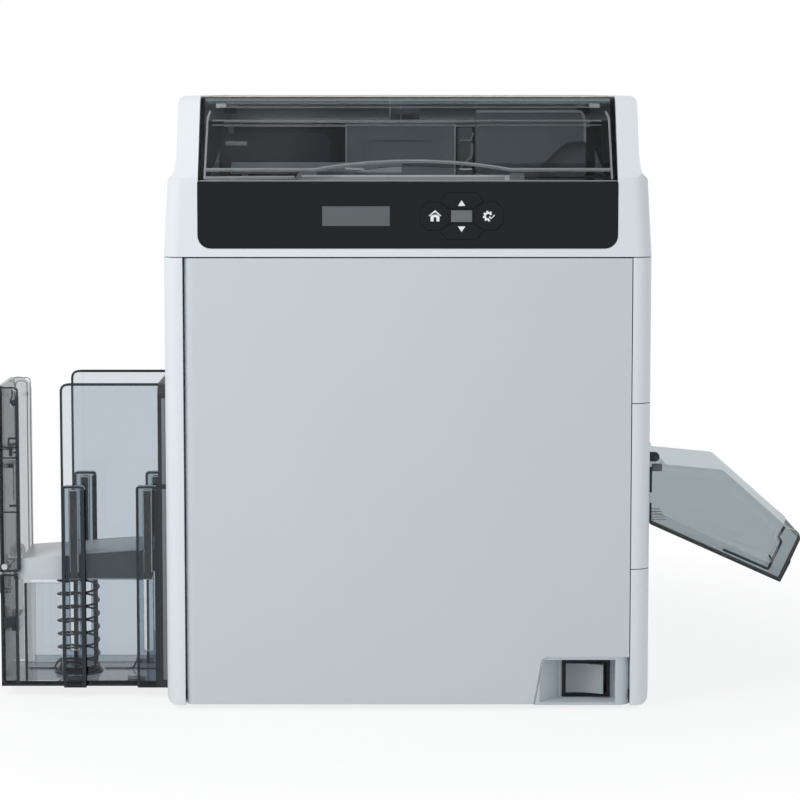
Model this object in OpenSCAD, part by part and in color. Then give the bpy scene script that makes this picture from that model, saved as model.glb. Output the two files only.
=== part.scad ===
// Desktop card printer with a spring-lifted card hopper at the left, a drop tray at the right,
// a swinging front door and a smoked lid over the top bay.
// X runs to the right, Y to the rear and Z up. Profiles across the width are drawn in X and Z.

/* [Body] */
// Width over the side panels
body_w = 314; // [300:1:330]
// Depth from the door face to the rear panel
body_d = 350; // [330:1:400]
// Height from the table to the top of the lid
body_h = 398; // [396:1:430]
// Thickness of the moulded outer panels
wall = 3; // [2.5:0.1:3.4]
// Radius of the body's upright corners
corner_r = 10; // [7:0.5:10.5]
// Radius of the body's lower side edges
base_r = 6.5; // [4:0.5:8]
// Width of the curved strip of side panel seen beside the door
strip_w = 12.4; // [10.6:0.1:13]
// Visible joint line between two covers
seam = 0.6; // [0.4:0.1:1]
// Height of the collar that carries the control panel
collar_h = 48; // [46:1:52]
// How far each side of the collar leans in at its top
collar_lean = 2.7; // [0:0.1:4]
// Height of the joint between the lower and the middle right panels
lower_panel_z = 92.6; // [80:0.2:100]
// Height of the joint between the middle and the upper right panels
upper_panel_z = 200.7; // [190:0.2:210]
// Height of the rubber feet
foot_h = 3; // [2.5:0.5:6]
// Radius of the rubber feet
foot_r = 9; // [6:0.5:12]
// Distance of each foot's centre from the sides and from the rear
foot_inset = 28; // [20:1:40]

/* [Front door] */
// Depth of the door from its face to the edge of its rim
door_t = 22; // [18:1:24]
// Distance from the door's face and its left edge to the hinge axis
hinge_off = 6; // [5:0.5:7]
// Radius of the door's hinge pins
door_pin_r = 2.5; // [2:0.1:3]
// Height of each hinge boss on the door
door_boss_h = 16; // [12:1:24]
// Distance of the hinge bosses from the top and bottom edges of the door
door_boss_in = 26; // [20:1:40]
// Height of the notch that clears the power switch
notch_h = 31.8; // [31.6:0.1:36]
// Width of the notch at its top edge
notch_w = 57.2; // [56:0.2:68]
// How much wider the notch is at the bottom
notch_flare = 6; // [0:0.5:8]

/* [Power switch] */
// Width of the switch frame
switch_w = 31.5; // [30:0.5:32]
// Height of the switch frame
switch_h = 24.1; // [22:0.1:25]
// Distance of the switch centre from the body's right side
switch_in = 40.2; // [38:0.2:42]
// Height of the switch centre above the bottom of the body
switch_z = 15.2; // [14.8:0.1:15.6]
// Tilt of the rocker from its middle position
rocker_tilt = 12; // [6:1:12]
// Width of the rocker
rocker_w = 24.5; // [22:0.5:25]
// Height of the rocker
rocker_h = 19.2; // [16:0.2:19.6]

/* [Control panel] */
// Distance of the glossy panel's ends from the sides of the body
panel_in = 22.5; // [21:0.5:36]
// Width of the white border under the panel
panel_border = 5.7; // [4:0.1:8]
// Radius of the panel's lower corners
panel_r = 8.5; // [4:0.5:12]
// Width of the display window
display_w = 43.4; // [30:0.2:60]
// Height of the display window
display_h = 12.8; // [10:0.2:16]
// Distance of the display's centre to the left of the middle
display_left = 33.2; // [26:0.2:60]
// Distance of the key cluster's centre to the right of the middle
keys_right = 34.4; // [30:0.2:90]
// Height of the display and keys above the bottom of the collar
keys_z = 26.4; // [23:0.2:28]
// Half the width of the key cluster
keys_half_w = 26.6; // [24:0.2:30]
// Half the height of the key cluster
keys_half_h = 14.9; // [13:0.1:16]
// Width of the status light
light_w = 13.6; // [10:0.2:16]
// Height of the status light
light_h = 7.6; // [6:0.2:9]
// Travel of the keys
key_travel = 0.8; // [0.4:0.1:1.2]
// Gap round each key
key_gap = 0.3; // [0.2:0.05:0.5]
// How far the key faces lie below the panel's face
key_in = 0.2; // [0.1:0.05:0.4]

/* [Lid and top bay] */
// Height of the lid and of the cheeks beside it
lid_h = 55; // [52:0.5:60]
// Distance of the lid's ends from the sides of the body
lid_in = 23.2; // [21:0.2:27]
// Thickness of the lid
lid_t = 2.6; // [2:0.1:3.2]
// How far the lid's front leans back over its height
lid_lean = 28.5; // [15:0.5:35]
// Distance from the rear panel to the lid's hinge axis
lid_hinge_in = 63; // [50:1:80]
// Radius of the lid's rolled rear edge round the hinge axis
lid_roll_r = 8; // [7:0.5:10]
// Radius of the lid's hinge pins
lid_pin_r = 2.5; // [2:0.1:3]
// Half the width of the finger grip
grip_half = 63; // [40:1:80]
// Height of the finger grip
grip_h = 9.5; // [6:0.5:10]
// Height of the thick rim along the lid's front edge
rim_h = 11; // [10.5:0.5:14]
// Thickness of that rim
rim_t = 6; // [5:0.5:8]
// Distance from the door face to the cross bar in the bay
bar_y = 125; // [110:1:140]
// Height of the cross bar's top above the bay floor
bar_z = 37.4; // [30:0.2:42]

/* [Hopper] */
// Length of a card
card_l = 85.6; // [85.6:0.1:86.5]
// Width of a card
card_w = 54; // [53.98:0.02:55]
// Distance from the door face to the middle of the card path
path_y = 72; // [70:0.5:76]
// Height of the hopper's walls above its floor
hopper_h = 202.6; // [190:0.2:215]
// How much taller the rear wall is than the front one
rear_rise = 2.5; // [0:0.5:4]
// Thickness of the hopper's clear walls
clear_t = 2.5; // [2:0.1:3]
// Height of the hopper's underside above the table
hopper_z = 6.7; // [5:0.1:12]
// Thickness of the hopper's floor
floor_t = 3.3; // [2.5:0.1:4]
// Thickness of the black mounting plate
mount_t = 7.5; // [6:0.5:9]
// Width of the hopper's front and rear walls
hopper_wall_w = 64.8; // [55:0.2:70]
// Width of the flanges of the outer gate
gate_flange = 13.5; // [10:0.5:15]
// Play round a card in the hopper, lengthways
card_play = 15; // [10:0.5:17]
// Height of the joint between the gate and the fixed foot below it
gate_z = 82; // [76:0.5:84]
// Height of the guide posts
post_h = 135; // [125:1:140]
// Width of the guide posts
post_w = 15; // [13:0.5:17]
// Depth of the guide posts outside the wall
post_t = 5; // [4:0.5:6]
// Height of the platform's outer edge above the table
lift_z = 92; // [90:0.5:96]
// Thickness of the platform at its outer end
lift_t = 8; // [6:0.5:10]
// How much the platform's top rises towards the printer
lift_rise = 6.5; // [0:0.5:8]
// Travel of the platform
lift_travel = 46; // [30:1:48]
// Width of the platform's guide tongues
tongue_w = 5.6; // [4:0.2:6.5]
// Height of the tongues above the platform
tongue_h = 47; // [40:0.5:47.5]
// Outer radius of the lifting spring
spring_r = 14.7; // [13:0.1:16]
// Diameter of the spring wire
spring_wire = 1.8; // [1.4:0.1:2.2]
// Number of working turns of the spring
spring_turns = 7.5; // [5:0.5:8]

/* [Output tray] */
// Reach of the tray beyond the body
tray_reach = 103.4; // [95:0.2:115]
// Height of the tray's pivot above the table
tray_pivot_z = 161; // [158:0.5:166]
// Distance of the pivot from the side of the body
tray_pivot_x = 6; // [5.9:0.1:7]
// Slope of the tray floor
tray_slope = 24.2; // [18:0.2:26]
// Height of the tray wall at the body
tray_wall_h = 40.2; // [38:0.2:44]
// How much taller the tray's rear wall is than its front one
tray_rise = 3.4; // [0:0.2:5]
// Radius of the pins of the tray and of the gate
small_pin_r = 2; // [1.6:0.1:2.4]

/* [Print engine] */
// Distance from the card path up to the top of the hopper's walls
path_drop = 11.3; // [10.3:0.1:13.3]
// Slope of the path from the turning unit down to the exit
path_slope = 16; // [14:0.5:17]
// Gap between the engine's two plates
engine_gap = 73; // [71:0.5:75]
// Thickness of the engine's plates
plate_t = 2.5; // [2:0.1:3]
// Radius of the roller shafts
shaft_r = 3; // [2.5:0.1:3.5]
// Radius of the feed rollers
feed_r = 9.5; // [8:0.1:9.8]
// Radius of the heat roller
heat_r = 18; // [15:0.5:19]
// Radius of the pressure roller
press_r = 14; // [11:0.5:15]
// Radius of the printing platen
platen_r = 20; // [16:0.5:21]
// Radius of a full ribbon or film roll
roll_r = 23; // [18:0.5:24]
// Length of the card turning unit
turn_l = 70; // [60:1:74]
// Teeth of the feed roller's gear
gear_teeth = 30; // [24:1:32]
// Teeth of the motor's pinion
pinion_teeth = 12; // [12:1:14]
// Module of both gears
gear_mod = 1; // [0.9:0.05:1]

/* [Fits] */
// Radial clearance of a shaft that turns in its hole
run_fit = 0.06; // [0.03:0.01:0.09]
// Radial clearance of a pin that is pressed into its hole
still_fit = 0.02; // [0.01:0.01:0.03]
// Play of sliding and lifting pieces
slide_fit = 0.5; // [0.35:0.05:0.6]

/* [Hidden] */
$fn = 64;
EPS = 0.01;

// levels of the body, from the table up
base_z = foot_h;
bay_z = body_h - lid_h;
collar_z = bay_z - collar_h;
half_w = body_w / 2;
panel_half = half_w - panel_in;
lid_half = half_w - lid_in;
front_y = -body_d / 2;
rear_y = body_d / 2;
inner_half = half_w - wall;
door_half = half_w - strip_w;
floor_z = base_z + wall;

// card path
mid_y = front_y + path_y;
card_half_y = card_w / 2 + 2.5;
engine_y0 = mid_y - engine_gap / 2;
engine_y1 = mid_y + engine_gap / 2;
plate_y0 = engine_y0 - plate_t;
plate_y1 = engine_y1 + plate_t;
turn_x = -35;

// hopper
hop_x1 = -half_w - mount_t;
hop_x0 = hop_x1 - card_l - card_play - 2 * clear_t;
hop_y0 = mid_y - card_half_y - clear_t;
hop_y1 = mid_y + card_half_y + clear_t;
hopper_reach = -hop_x0 - half_w;
hop_floor_z = hopper_z + floor_t;
hop_top_z = hopper_z + hopper_h;
path_z = hop_top_z - path_drop;

// the whole printer stands with its own box centred on the origin
centre_x = (hopper_reach - tray_reach) / 2;

white = "#e8ecee";
pale = "#d7dde1";
gloss_black = "#101114";
dark = "#2b2e32";
mid_grey = "#83898f";
steel = "#b4b9bd";
rubber = "#26282a";
smoke = [0.28, 0.33, 0.36, 0.45];
brass = "#b8964a";
board_green = "#1f5c3b";

// ---- helpers ----

// stands the whole printer on its own origin
module place() translate([centre_x, 0, 0]) children();

// box between two limits on each axis
module span(x, y, z)
    translate([x[0], y[0], z[0]]) cube([x[1] - x[0], y[1] - y[0], z[1] - z[0]]);

// profile in X and Z, drawn out along Y
module along_y(y)
    translate([0, y[1], 0]) rotate([90, 0, 0]) linear_extrude(y[1] - y[0]) children();

// profile in Y and Z, drawn out along X
module along_x(x)
    translate([x[0], 0, 0]) rotate([90, 0, 90]) linear_extrude(x[1] - x[0]) children();

// profile in X and Y, drawn out along Z
module along_z(z)
    translate([0, 0, z[0]]) linear_extrude(z[1] - z[0]) children();

module rod_y(x, z, r, y)
    translate([x, y[1], z]) rotate([90, 0, 0]) cylinder(r = r, h = y[1] - y[0]);

module rod_x(y, z, r, x)
    translate([x[0], y, z]) rotate([0, 90, 0]) cylinder(r = r, h = x[1] - x[0]);

module rod_z(x, y, r, z)
    translate([x, y, z[0]]) cylinder(r = r, h = z[1] - z[0]);

function unit(v) = v / norm(v);

// points of one corner of an outline: [x, y] stays sharp and [x, y, r] is rounded to radius r
function corner(a, p, b, n = 6) =
    let (r = len(p) > 2 ? p[2] : 0,
        pa = unit([a.x - p.x, a.y - p.y]),
        pb = unit([b.x - p.x, b.y - p.y]),
        half = acos(max(-1, min(1, pa * pb))) / 2)
    r == 0 ? [[p.x, p.y]] :
    let (c = [p.x, p.y] + unit(pa + pb) * r / sin(half),
        s = [p.x, p.y] + pa * r / tan(half) - c,
        e = [p.x, p.y] + pb * r / tan(half) - c,
        a0 = atan2(s.y, s.x),
        turn = (atan2(e.y, e.x) - a0 + 540) % 360 - 180)
    [for (i = [0:n]) c + r * [cos(a0 + turn * i / n), sin(a0 + turn * i / n)]];

function rounded(pts, n = 6) =
    [for (i = [0:len(pts) - 1])
        each corner(pts[(i + len(pts) - 1) % len(pts)], pts[i], pts[(i + 1) % len(pts)], n)];

// a convex outline, drawn clockwise or not, grown by g on every side
function grown(pts, g) =
    [for (i = [0:len(pts) - 1])
        let (p = pts[i],
            a = unit(pts[(i + len(pts) - 1) % len(pts)] - p),
            b = unit(pts[(i + 1) % len(pts)] - p))
        p - unit(a + b) * g / sin(acos(a * b) / 2)];

module outline(pts, n = 6) polygon(rounded(pts, n));

// rounded rectangle centred on the origin, with true arcs
module round_rect(w, d, r)
{
    square([w - 2 * r, d], center = true);
    square([w, d - 2 * r], center = true);
    for (sx = [-1, 1], sy = [-1, 1])
        translate([sx * (w / 2 - r), sy * (d / 2 - r)]) circle(r = r);
}

module mirrored() { children(); mirror([1, 0, 0]) children(); }

// ---- outer shell ----

// closed tub with rounded upright corners and rounded lower edges, grown inwards by g
module tub_form(g)
    intersection()
    {
        along_z([base_z + g, collar_z]) round_rect(body_w - 2 * g, body_d - 2 * g, corner_r - g);
        along_y([front_y, rear_y])
            outline([[half_w - g, base_z + g, base_r - g], [half_w - g, body_h],
                [g - half_w, body_h], [g - half_w, base_z + g, base_r - g]], 8);
    }

module tub() difference()
{
    tub_form(0);
    tub_form(wall);
    span([-inner_half, inner_half], [front_y + corner_r, rear_y - corner_r], [body_h / 2, body_h]);
}

// the tub's side beyond the door, between two heights, with the lip behind the door's edge
module right_side(z)
{
    intersection()
    {
        tub();
        span([door_half, half_w + 1], [front_y - 1, rear_y + 1], z);
    }
    span([door_half, door_half + wall], [front_y + wall, front_y + door_t - 5],
        [max(z[0], floor_z + base_r), z[1]]);
}

module feed_opening()
    span([-half_w - mount_t - 1, -inner_half + 1], [mid_y - card_half_y, mid_y + card_half_y],
        [path_z - 6, path_z + 8]);

module left_side_panel() color(white) place() difference()
{
    mirror([1, 0, 0]) right_side([base_z, collar_z - seam / 2]);
    feed_opening();
}

module right_panel_lower() color(white) place()
    right_side([base_z, lower_panel_z - seam / 2]);

// the card leaves on the sloping path through this slot
exit_z = path_z - tan(path_slope) * (half_w - turn_x);
module exit_opening()
    span([inner_half - 1, half_w + mount_t], [mid_y - card_half_y, mid_y + card_half_y],
        [exit_z - 6, exit_z + 9]);

module right_panel_middle() color(white) place() difference()
{
    right_side([lower_panel_z + seam / 2, upper_panel_z - seam / 2]);
    exit_opening();
}

module right_panel_upper() color(white) place()
    right_side([upper_panel_z + seam / 2, collar_z - seam / 2]);

module base_pan() color(pale) place() difference()
{
    intersection()
    {
        tub();
        span([seam / 2 - door_half, door_half - seam / 2],
            [front_y + door_t + 1, rear_y - wall - still_fit], [base_z, floor_z]);
    }
    for (x = [-110:18:34])
        along_z([base_z - 1, floor_z + 1]) translate([x, rear_y - 80]) round_rect(5, 50, 2.4);
}

// slots in the rear panel, the port cut-outs and the fan's round grille
fan_x = -half_w + 77;
fan_z = 214;
fan_size = 60;
inlet_x = half_w - 65;
inlet_z = 46;
module rear_panel() color(white) place() difference()
{
    intersection()
    {
        tub();
        span([seam / 2 - door_half, door_half - seam / 2], [rear_y - wall - still_fit, rear_y + 1],
            [base_z, collar_z - seam / 2]);
    }
    for (i = [0:8])
        along_y([rear_y - wall - 1, rear_y + 1])
            translate([half_w - 97, 150 + 13 * i]) round_rect(90, 5, 2.4);
    for (r = [8:6:26], a = [0:90:270])
        intersection()
        {
            translate([fan_x, rear_y + 1, fan_z]) rotate([90, 0, 0]) difference()
            {
                cylinder(r = r + 3.6, h = wall + 2);
                translate([0, 0, -1]) cylinder(r = r, h = wall + 4);
            }
            translate([fan_x, 0, fan_z]) rotate([0, a, 0])
                span([2, fan_size], [rear_y - wall - 1, rear_y + 2], [2, fan_size]);
        }
    span([inlet_x - 24, inlet_x + 24], [rear_y - wall - 1, rear_y + 1], [inlet_z - 12, inlet_z + 12]);
    span([-112, -62], [rear_y - wall - 1, rear_y + 1], [inlet_z - 9, inlet_z + 9]);
}

// ring whose sides lean in towards the top
module collar_form(g)
    hull()
    {
        along_z([collar_z + seam / 2, collar_z + seam / 2 + EPS])
            round_rect(body_w - 2 * g, body_d - 2 * g, corner_r - g);
        along_z([bay_z - EPS, bay_z])
            round_rect(body_w - 2 * (collar_lean + g), body_d - 2 * g, corner_r - g);
    }

panel_z0 = collar_z + panel_border;
module panel_outline(g = 0)
    outline([[-panel_half - g, bay_z + 1], [-panel_half - g, panel_z0 - g, panel_r],
        [panel_half + g, panel_z0 - g, panel_r], [panel_half + g, bay_z + 1]]);

module collar() color(white) place() difference()
{
    collar_form(0);
    intersection()
    {
        collar_form(wall);
        span([-half_w, half_w], [front_y, rear_y], [collar_z, bay_z]);
    }
    span([-half_w + wall + collar_lean, half_w - wall - collar_lean], [front_y + wall, rear_y - wall],
        [collar_z - 1, bay_z + 1]);
    along_y([front_y - 1, front_y + wall + 1]) panel_outline(0.2);
}

// cheeks at both sides of the lid and the raised deck behind it
cheek_in = lid_half + slide_fit;
lid_axis_y = rear_y - lid_hinge_in;
lid_axis_z = body_h - 0.4 - lid_roll_r;
deck_front = lid_axis_y + lid_roll_r + slide_fit;
top_half = half_w - collar_lean;
cheek_half = top_half - 6;
module top_housing() color(white) place() difference()
{
    intersection()
    {
        along_z([bay_z, body_h]) round_rect(2 * top_half, body_d, corner_r);
        along_y([front_y, rear_y])
            outline([[top_half, bay_z], [top_half, bay_z + 1.6], [cheek_half + 1.2, bay_z + 6, 6],
                [cheek_half, bay_z + 16, 20], [cheek_half, body_h, 4.5], [-cheek_half, body_h, 4.5],
                [-cheek_half, bay_z + 16, 20], [-cheek_half - 1.2, bay_z + 6, 6],
                [-top_half, bay_z + 1.6], [-top_half, bay_z]]);
        along_x([-half_w, half_w])
            outline([[front_y, bay_z], [front_y, bay_z + 3], [front_y + lid_lean, body_h, 12],
                [rear_y, body_h, 5], [rear_y, bay_z]]);
    }
    span([-cheek_in, cheek_in], [front_y - 1, deck_front], [bay_z - 1, body_h + 1]);
    span([-cheek_in, cheek_in], [deck_front + wall, rear_y - wall], [bay_z - 1, body_h - wall]);
    mirrored()
        span([cheek_in + wall, cheek_half - wall], [front_y + lid_lean + wall, rear_y - wall],
            [bay_z - 1, lid_axis_z - lid_pin_r - 4]);
    rod_x(lid_axis_y, lid_axis_z, lid_pin_r + still_fit, [-cheek_in - wall, cheek_in + wall]);
}

// floor of the bay with the tall cross bar on its two legs
bar_top = bay_z + bar_z;
bay_half = cheek_in - lid_t - 3;
rail_top = lid_axis_z - lid_roll_r - 1.6;
module bay_deck() color(dark) place()
{
    difference()
    {
        along_z([bay_z - 2.5, bay_z])
            round_rect(2 * (top_half - wall - slide_fit), body_d - 2 * wall - 1, corner_r - wall);
        for (x = [-120:12:-72])
            along_z([bay_z - 4, bay_z + 1]) translate([x, 40]) round_rect(5, 60, 2.4);
        for (sx = [-1, 1])
            along_z([bay_z - 4, bay_z + 1])
                translate([sx * (top_half - 22), front_y + 44]) circle(r = 2.4);
    }
    span([-bay_half, bay_half], [front_y + bar_y, front_y + bar_y + 9], [bar_top - 3.5, bar_top]);
    mirrored()
        span([bay_half - 6, bay_half], [front_y + bar_y, front_y + bar_y + 9], [bay_z, bar_top - 3.5]);
    span([-bay_half, bay_half], [deck_front - 12, deck_front - 10], [bay_z, rail_top]);
    mirrored()
        span([bay_half - 14, bay_half - 2], [deck_front - 30, deck_front - 12], [rail_top - 3, rail_top]);
}

module feet() color(rubber) place()
    for (sx = [-1, 1], y = [front_y + door_t + foot_inset, rear_y - foot_inset])
        rod_z(sx * (half_w - foot_inset), y, foot_r, [0, base_z]);

// ---- control panel ----

disp_x = -display_left;
row_z = collar_z + keys_z;
panel_back = front_y + wall;
up_key = [[-13.7, 9.6], [-9.5, keys_half_h], [9.5, keys_half_h], [13.7, 9.6], [6.9, 5], [-6.9, 5]];
side_key = [[-keys_half_w, -4.2], [-keys_half_w, 4.2], [-22, 9], [-14.8, 9], [-8, 4.2], [-8, -4.2],
    [-14.8, -9], [-22, -9]];

// one key's outline placed on the panel; flip is [1, 1], [-1, 1] or [1, -1]
function key_points(pts, flip, g = 0) =
    [for (p = grown(pts, g)) [keys_right + flip.x * p.x, row_z + flip.y * p.y]];

module key_outline(pts, flip, g = 0) polygon(key_points(pts, flip, g));

module control_panel() color(gloss_black) place() difference()
{
    along_y([front_y, panel_back]) intersection()
    {
        panel_outline();
        translate([-half_w, collar_z]) square([body_w, collar_h]);
    }
    span([disp_x - display_w / 2, disp_x + display_w / 2], [front_y - 1, front_y + 1.6],
        [row_z - display_h / 2, row_z + display_h / 2]);
    span([disp_x - display_w / 2 + 2, disp_x + display_w / 2 - 2], [front_y + 1, panel_back + 1],
        [row_z - display_h / 2 + 2, row_z + display_h / 2 - 2]);
    span([keys_right - light_w / 2, keys_right + light_w / 2], [front_y - 1, panel_back + 1],
        [row_z - light_h / 2, row_z + light_h / 2]);
    for (k = [[up_key, [1, 1]], [up_key, [1, -1]], [side_key, [1, 1]], [side_key, [-1, 1]]])
        along_y([front_y - 1, panel_back + 1]) key_outline(k[0], k[1], key_gap);
}

module display_window() color("#8f989c") place()
    span([disp_x - display_w / 2 + 0.1, disp_x + display_w / 2 - 0.1], [front_y + 0.2, front_y + 1.6],
        [row_z - display_h / 2 + 0.1, row_z + display_h / 2 - 0.1]);

// light pipe that stands on the key board
board_y = front_y + 7;
module status_light() color("#9ca3a8") place()
    span([keys_right - light_w / 2 + 0.1, keys_right + light_w / 2 - 0.1], [front_y, board_y],
        [row_z - light_h / 2 + 0.1, row_z + light_h / 2 - 0.1]);

// circuit board with a dome switch behind each key and the display module, on four posts
key_spots = [[0, 9.8], [0, -9.8], [-17, 0], [17, 0]];
module keypad_board() color(board_green) place()
{
    span([disp_x - display_w / 2 - 8, keys_right + keys_half_w + 8], [board_y, board_y + 1.6],
        [row_z - 17, row_z + 15]);
    span([disp_x - display_w / 2 + 3, disp_x + display_w / 2 - 3], [front_y + 1.7, board_y],
        [row_z - display_h / 2 + 3, row_z + display_h / 2 - 3]);
    for (s = key_spots)
        rod_y(keys_right + s.x, row_z + s.y, 2.4, [panel_back + key_travel + 0.2, board_y]);
    for (x = [disp_x - display_w / 2 - 5, keys_right + keys_half_w + 5], z = [row_z - 13, row_z + 12])
        rod_y(x, z, 2, [panel_back, board_y]);
}

// key cap over its dome switch
module key(pts, flip) along_y([front_y + key_in, panel_back]) key_outline(pts, flip);

module key_up() color(gloss_black) place() key(up_key, [1, 1]);
module key_down() color(gloss_black) place() key(up_key, [1, -1]);
module key_home() color(gloss_black) place() key(side_key, [1, 1]);
module key_settings() color(gloss_black) place() key(side_key, [-1, 1]);

// ---- front door ----

edge = door_half - seam;
door_z0 = base_z + seam;
door_z1 = collar_z - seam;
hinge_x = -edge + hinge_off;
hinge_y = front_y + hinge_off;
notch_z = base_z + notch_h;
notch_x = door_half - notch_w;
// the two hinge bosses and the bracket plates above the lower and below the upper one
boss_z = [door_z0 + door_boss_in, door_z1 - door_boss_in - door_boss_h];
bracket_t = 3;

module notch_form(g)
    along_y([front_y - 1, front_y + door_t + 1])
        outline([[door_half + 5, notch_z + g], [notch_x - g, notch_z + g, 5 + g],
            [notch_x - notch_flare - g, base_z - 1], [door_half + 5, base_z - 1]]);

// outline of the door seen from above, grown inwards by g
module door_plan(g)
{
    translate([hinge_x, front_y + g]) square([edge - hinge_x - g, door_t + g]);
    translate([g - edge, hinge_y]) square([hinge_off + 1, door_t - hinge_off + 2 * g]);
    translate([hinge_x, hinge_y]) circle(r = hinge_off - g);
}

// bracket heights: the lower bracket stands above its boss and the upper one below
bracket_z = [boss_z[0] + door_boss_h + slide_fit, boss_z[1] - bracket_t - slide_fit];

module front_door() color(white) place()
{
    difference()
    {
        along_z([door_z0, door_z1]) intersection()
        {
            door_plan(0);
            translate([-edge, front_y]) square([2 * edge, door_t]);
        }
        difference()
        {
            along_z([door_z0 + wall, door_z1 - wall]) door_plan(wall);
            notch_form(wall);
            for (z = boss_z)
                span([-edge, hinge_x + 7], [front_y, hinge_y + 7], [z, z + door_boss_h]);
        }
        notch_form(0);
        rod_z(hinge_x, hinge_y, door_pin_r + run_fit, [boss_z[0] - 1, boss_z[0] + door_boss_h + 1]);
        rod_z(hinge_x, hinge_y, door_pin_r + run_fit, [boss_z[1] - 1, boss_z[1] + door_boss_h + 1]);
        for (z = bracket_z)
            span([-edge - 1, -edge + wall + 1], [hinge_y + 0.01, front_y + door_t + 1],
                [z - slide_fit, z + bracket_t + slide_fit]);
    }
    // ribs that stiffen the door's inner face
    for (x = [-70, 0, 70])
        span([x - 1, x + 1], [front_y + wall - 1, front_y + wall + 5], [notch_z + 12, door_z1 - wall + 1]);
    for (z = [120, 210])
        span([-edge + 20, edge - wall + 1], [front_y + wall - 1, front_y + wall + 5], [z - 1, z + 1]);
    // strike plate for the magnet catch
    span([edge - wall - 9, edge - wall - 3], [front_y + wall - 1, front_y + door_t - 4.3],
        [path_z + 18, path_z + 38]);
}

hinge_pin_z = [[boss_z[0] + 1, bracket_z[0] + 1],
    [bracket_z[1] + bracket_t - 1, boss_z[1] + door_boss_h - 1]];

// two brackets with pins on the left panel's lip, and the magnet catch on the engine plate
module door_hinges() color(steel) place()
{
    for (i = [0, 1])
    {
        span([-door_half - wall, hinge_x + 6], [front_y + door_t - 4.8, front_y + door_t + 1.2],
            [bracket_z[i], bracket_z[i] + bracket_t]);
        span([hinge_x + 0.3, hinge_x + 6], [hinge_y - 1, front_y + door_t - 4.8],
            [bracket_z[i], bracket_z[i] + bracket_t]);
        rod_z(hinge_x, hinge_y, door_pin_r + 0.3, [bracket_z[i], bracket_z[i] + bracket_t]);
        rod_z(hinge_x, hinge_y, door_pin_r, hinge_pin_z[i]);
    }
    span([edge - wall - 9, edge - wall - 3], [front_y + door_t - 4, plate_y0], [path_z + 20, path_z + 36]);
}

// ---- power switch ----

sw_x = half_w - switch_in;
sw_z = base_z + switch_z;
sw_back = front_y + 15;
pocket_top = notch_z - 1.9;
sw_rim = 0.9;

sw_body_w = switch_w - 2 * sw_rim;
sw_body_h = switch_h - 2 * sw_rim;
// left side of the round post beside the pocket
post_side = door_half - 9.5;

// moulded pocket in the door's notch, with a round post at its right
module switch_recess() color(pale) place() difference()
{
    along_y([front_y + seam, sw_back + 2.5])
        outline([[door_half, notch_z - 0.7], [notch_x + 1.1, notch_z - 0.7, 4],
            [notch_x - notch_flare + 1.1, base_z], [door_half, base_z]]);
    hull()
    {
        span([notch_x - notch_flare + 3, post_side], [front_y - 1, front_y - 0.9],
            [base_z + 1.6, pocket_top]);
        span([sw_x - switch_w / 2 - 2, post_side], [sw_back - EPS, sw_back],
            [base_z + 2.6, pocket_top]);
    }
    difference()
    {
        span([post_side, door_half + 1], [front_y - 1, front_y + 9.5], [base_z - 1, notch_z]);
        rod_z(door_half - 8, front_y + 8.6, 8, [base_z - 1, notch_z]);
    }
    span([sw_x - sw_body_w / 2 - 0.1, sw_x + sw_body_w / 2 + 0.1], [sw_back - 1, sw_back + 4],
        [sw_z - sw_body_h / 2 - 0.1, sw_z + sw_body_h / 2 + 0.1]);
}

// rocker switch body with its frame; the rocker turns on a pin along Z
rocker_y = sw_back + 1;
rock_half = rocker_w / 2;
rock_pin = rocker_h / 2 + 1.1;
rock_pin_r = 1.2;
module power_switch() color(gloss_black) place() difference()
{
    union()
    {
        span([sw_x - switch_w / 2, sw_x + switch_w / 2], [sw_back - 2.2, sw_back],
            [sw_z - switch_h / 2, sw_z + switch_h / 2]);
        span([sw_x - sw_body_w / 2, sw_x + sw_body_w / 2], [sw_back, sw_back + 20],
            [sw_z - sw_body_h / 2, sw_z + sw_body_h / 2]);
        for (x = [-7, 0, 7])
            span([sw_x + x - 2.4, sw_x + x + 2.4], [sw_back + 20, sw_back + 28], [sw_z - 0.4, sw_z + 0.4]);
    }
    span([sw_x - rock_half - 1.2, sw_x + rock_half + 1.2], [sw_back - 3, sw_back + 13],
        [sw_z - rocker_h / 2 - 0.3, sw_z + rocker_h / 2 + 0.3]);
    rod_z(sw_x, rocker_y, rock_pin_r + run_fit, [sw_z - rock_pin - 0.1, sw_z + rock_pin + 0.1]);
}

module power_rocker() color("#a9b0b3") place()
{
    translate([sw_x, rocker_y, 0]) rotate([0, 0, -rocker_tilt])
        along_z([sw_z - rocker_h / 2, sw_z + rocker_h / 2])
            outline([[-rock_half, -5.6], [0, -3.4], [rock_half, -5.6], [rock_half, -1.5],
                [5, 5, 4], [-5, 5, 4], [-rock_half, -1.5]]);
    rod_z(sw_x, rocker_y, rock_pin_r, [sw_z - rock_pin, sw_z + rock_pin]);
}

// ---- lid ----

lid_z0 = bay_z + 0.6;
lid_y0 = front_y + 0.4;
lid_y1 = lid_axis_y + lid_roll_r;
lid_top = body_h - 0.4;
lean = lid_lean / (lid_top - lid_z0);

// side view of the lid's skin, grown inwards by g; the inner form is open below
module lid_side(g) outline(g == 0 ?
    [[lid_y0, lid_z0, 1.2], [lid_y0 + lid_lean, lid_top, 10], [lid_y1, lid_top, lid_roll_r - EPS],
        [lid_y1, lid_axis_z - lid_roll_r, lid_roll_r - EPS], [lid_axis_y - 14, lid_axis_z - lid_roll_r],
        [40, lid_z0 + 26, 30], [-110, lid_z0, 30]] :
    [[lid_y0 + g - lean * 5, lid_z0 - 5], [lid_y0 + g + lid_lean - 0.2, lid_top - g, 8],
        [lid_y1 - g, lid_top - g, lid_roll_r - g], [lid_y1 - g, lid_z0 - 5]]);

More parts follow.
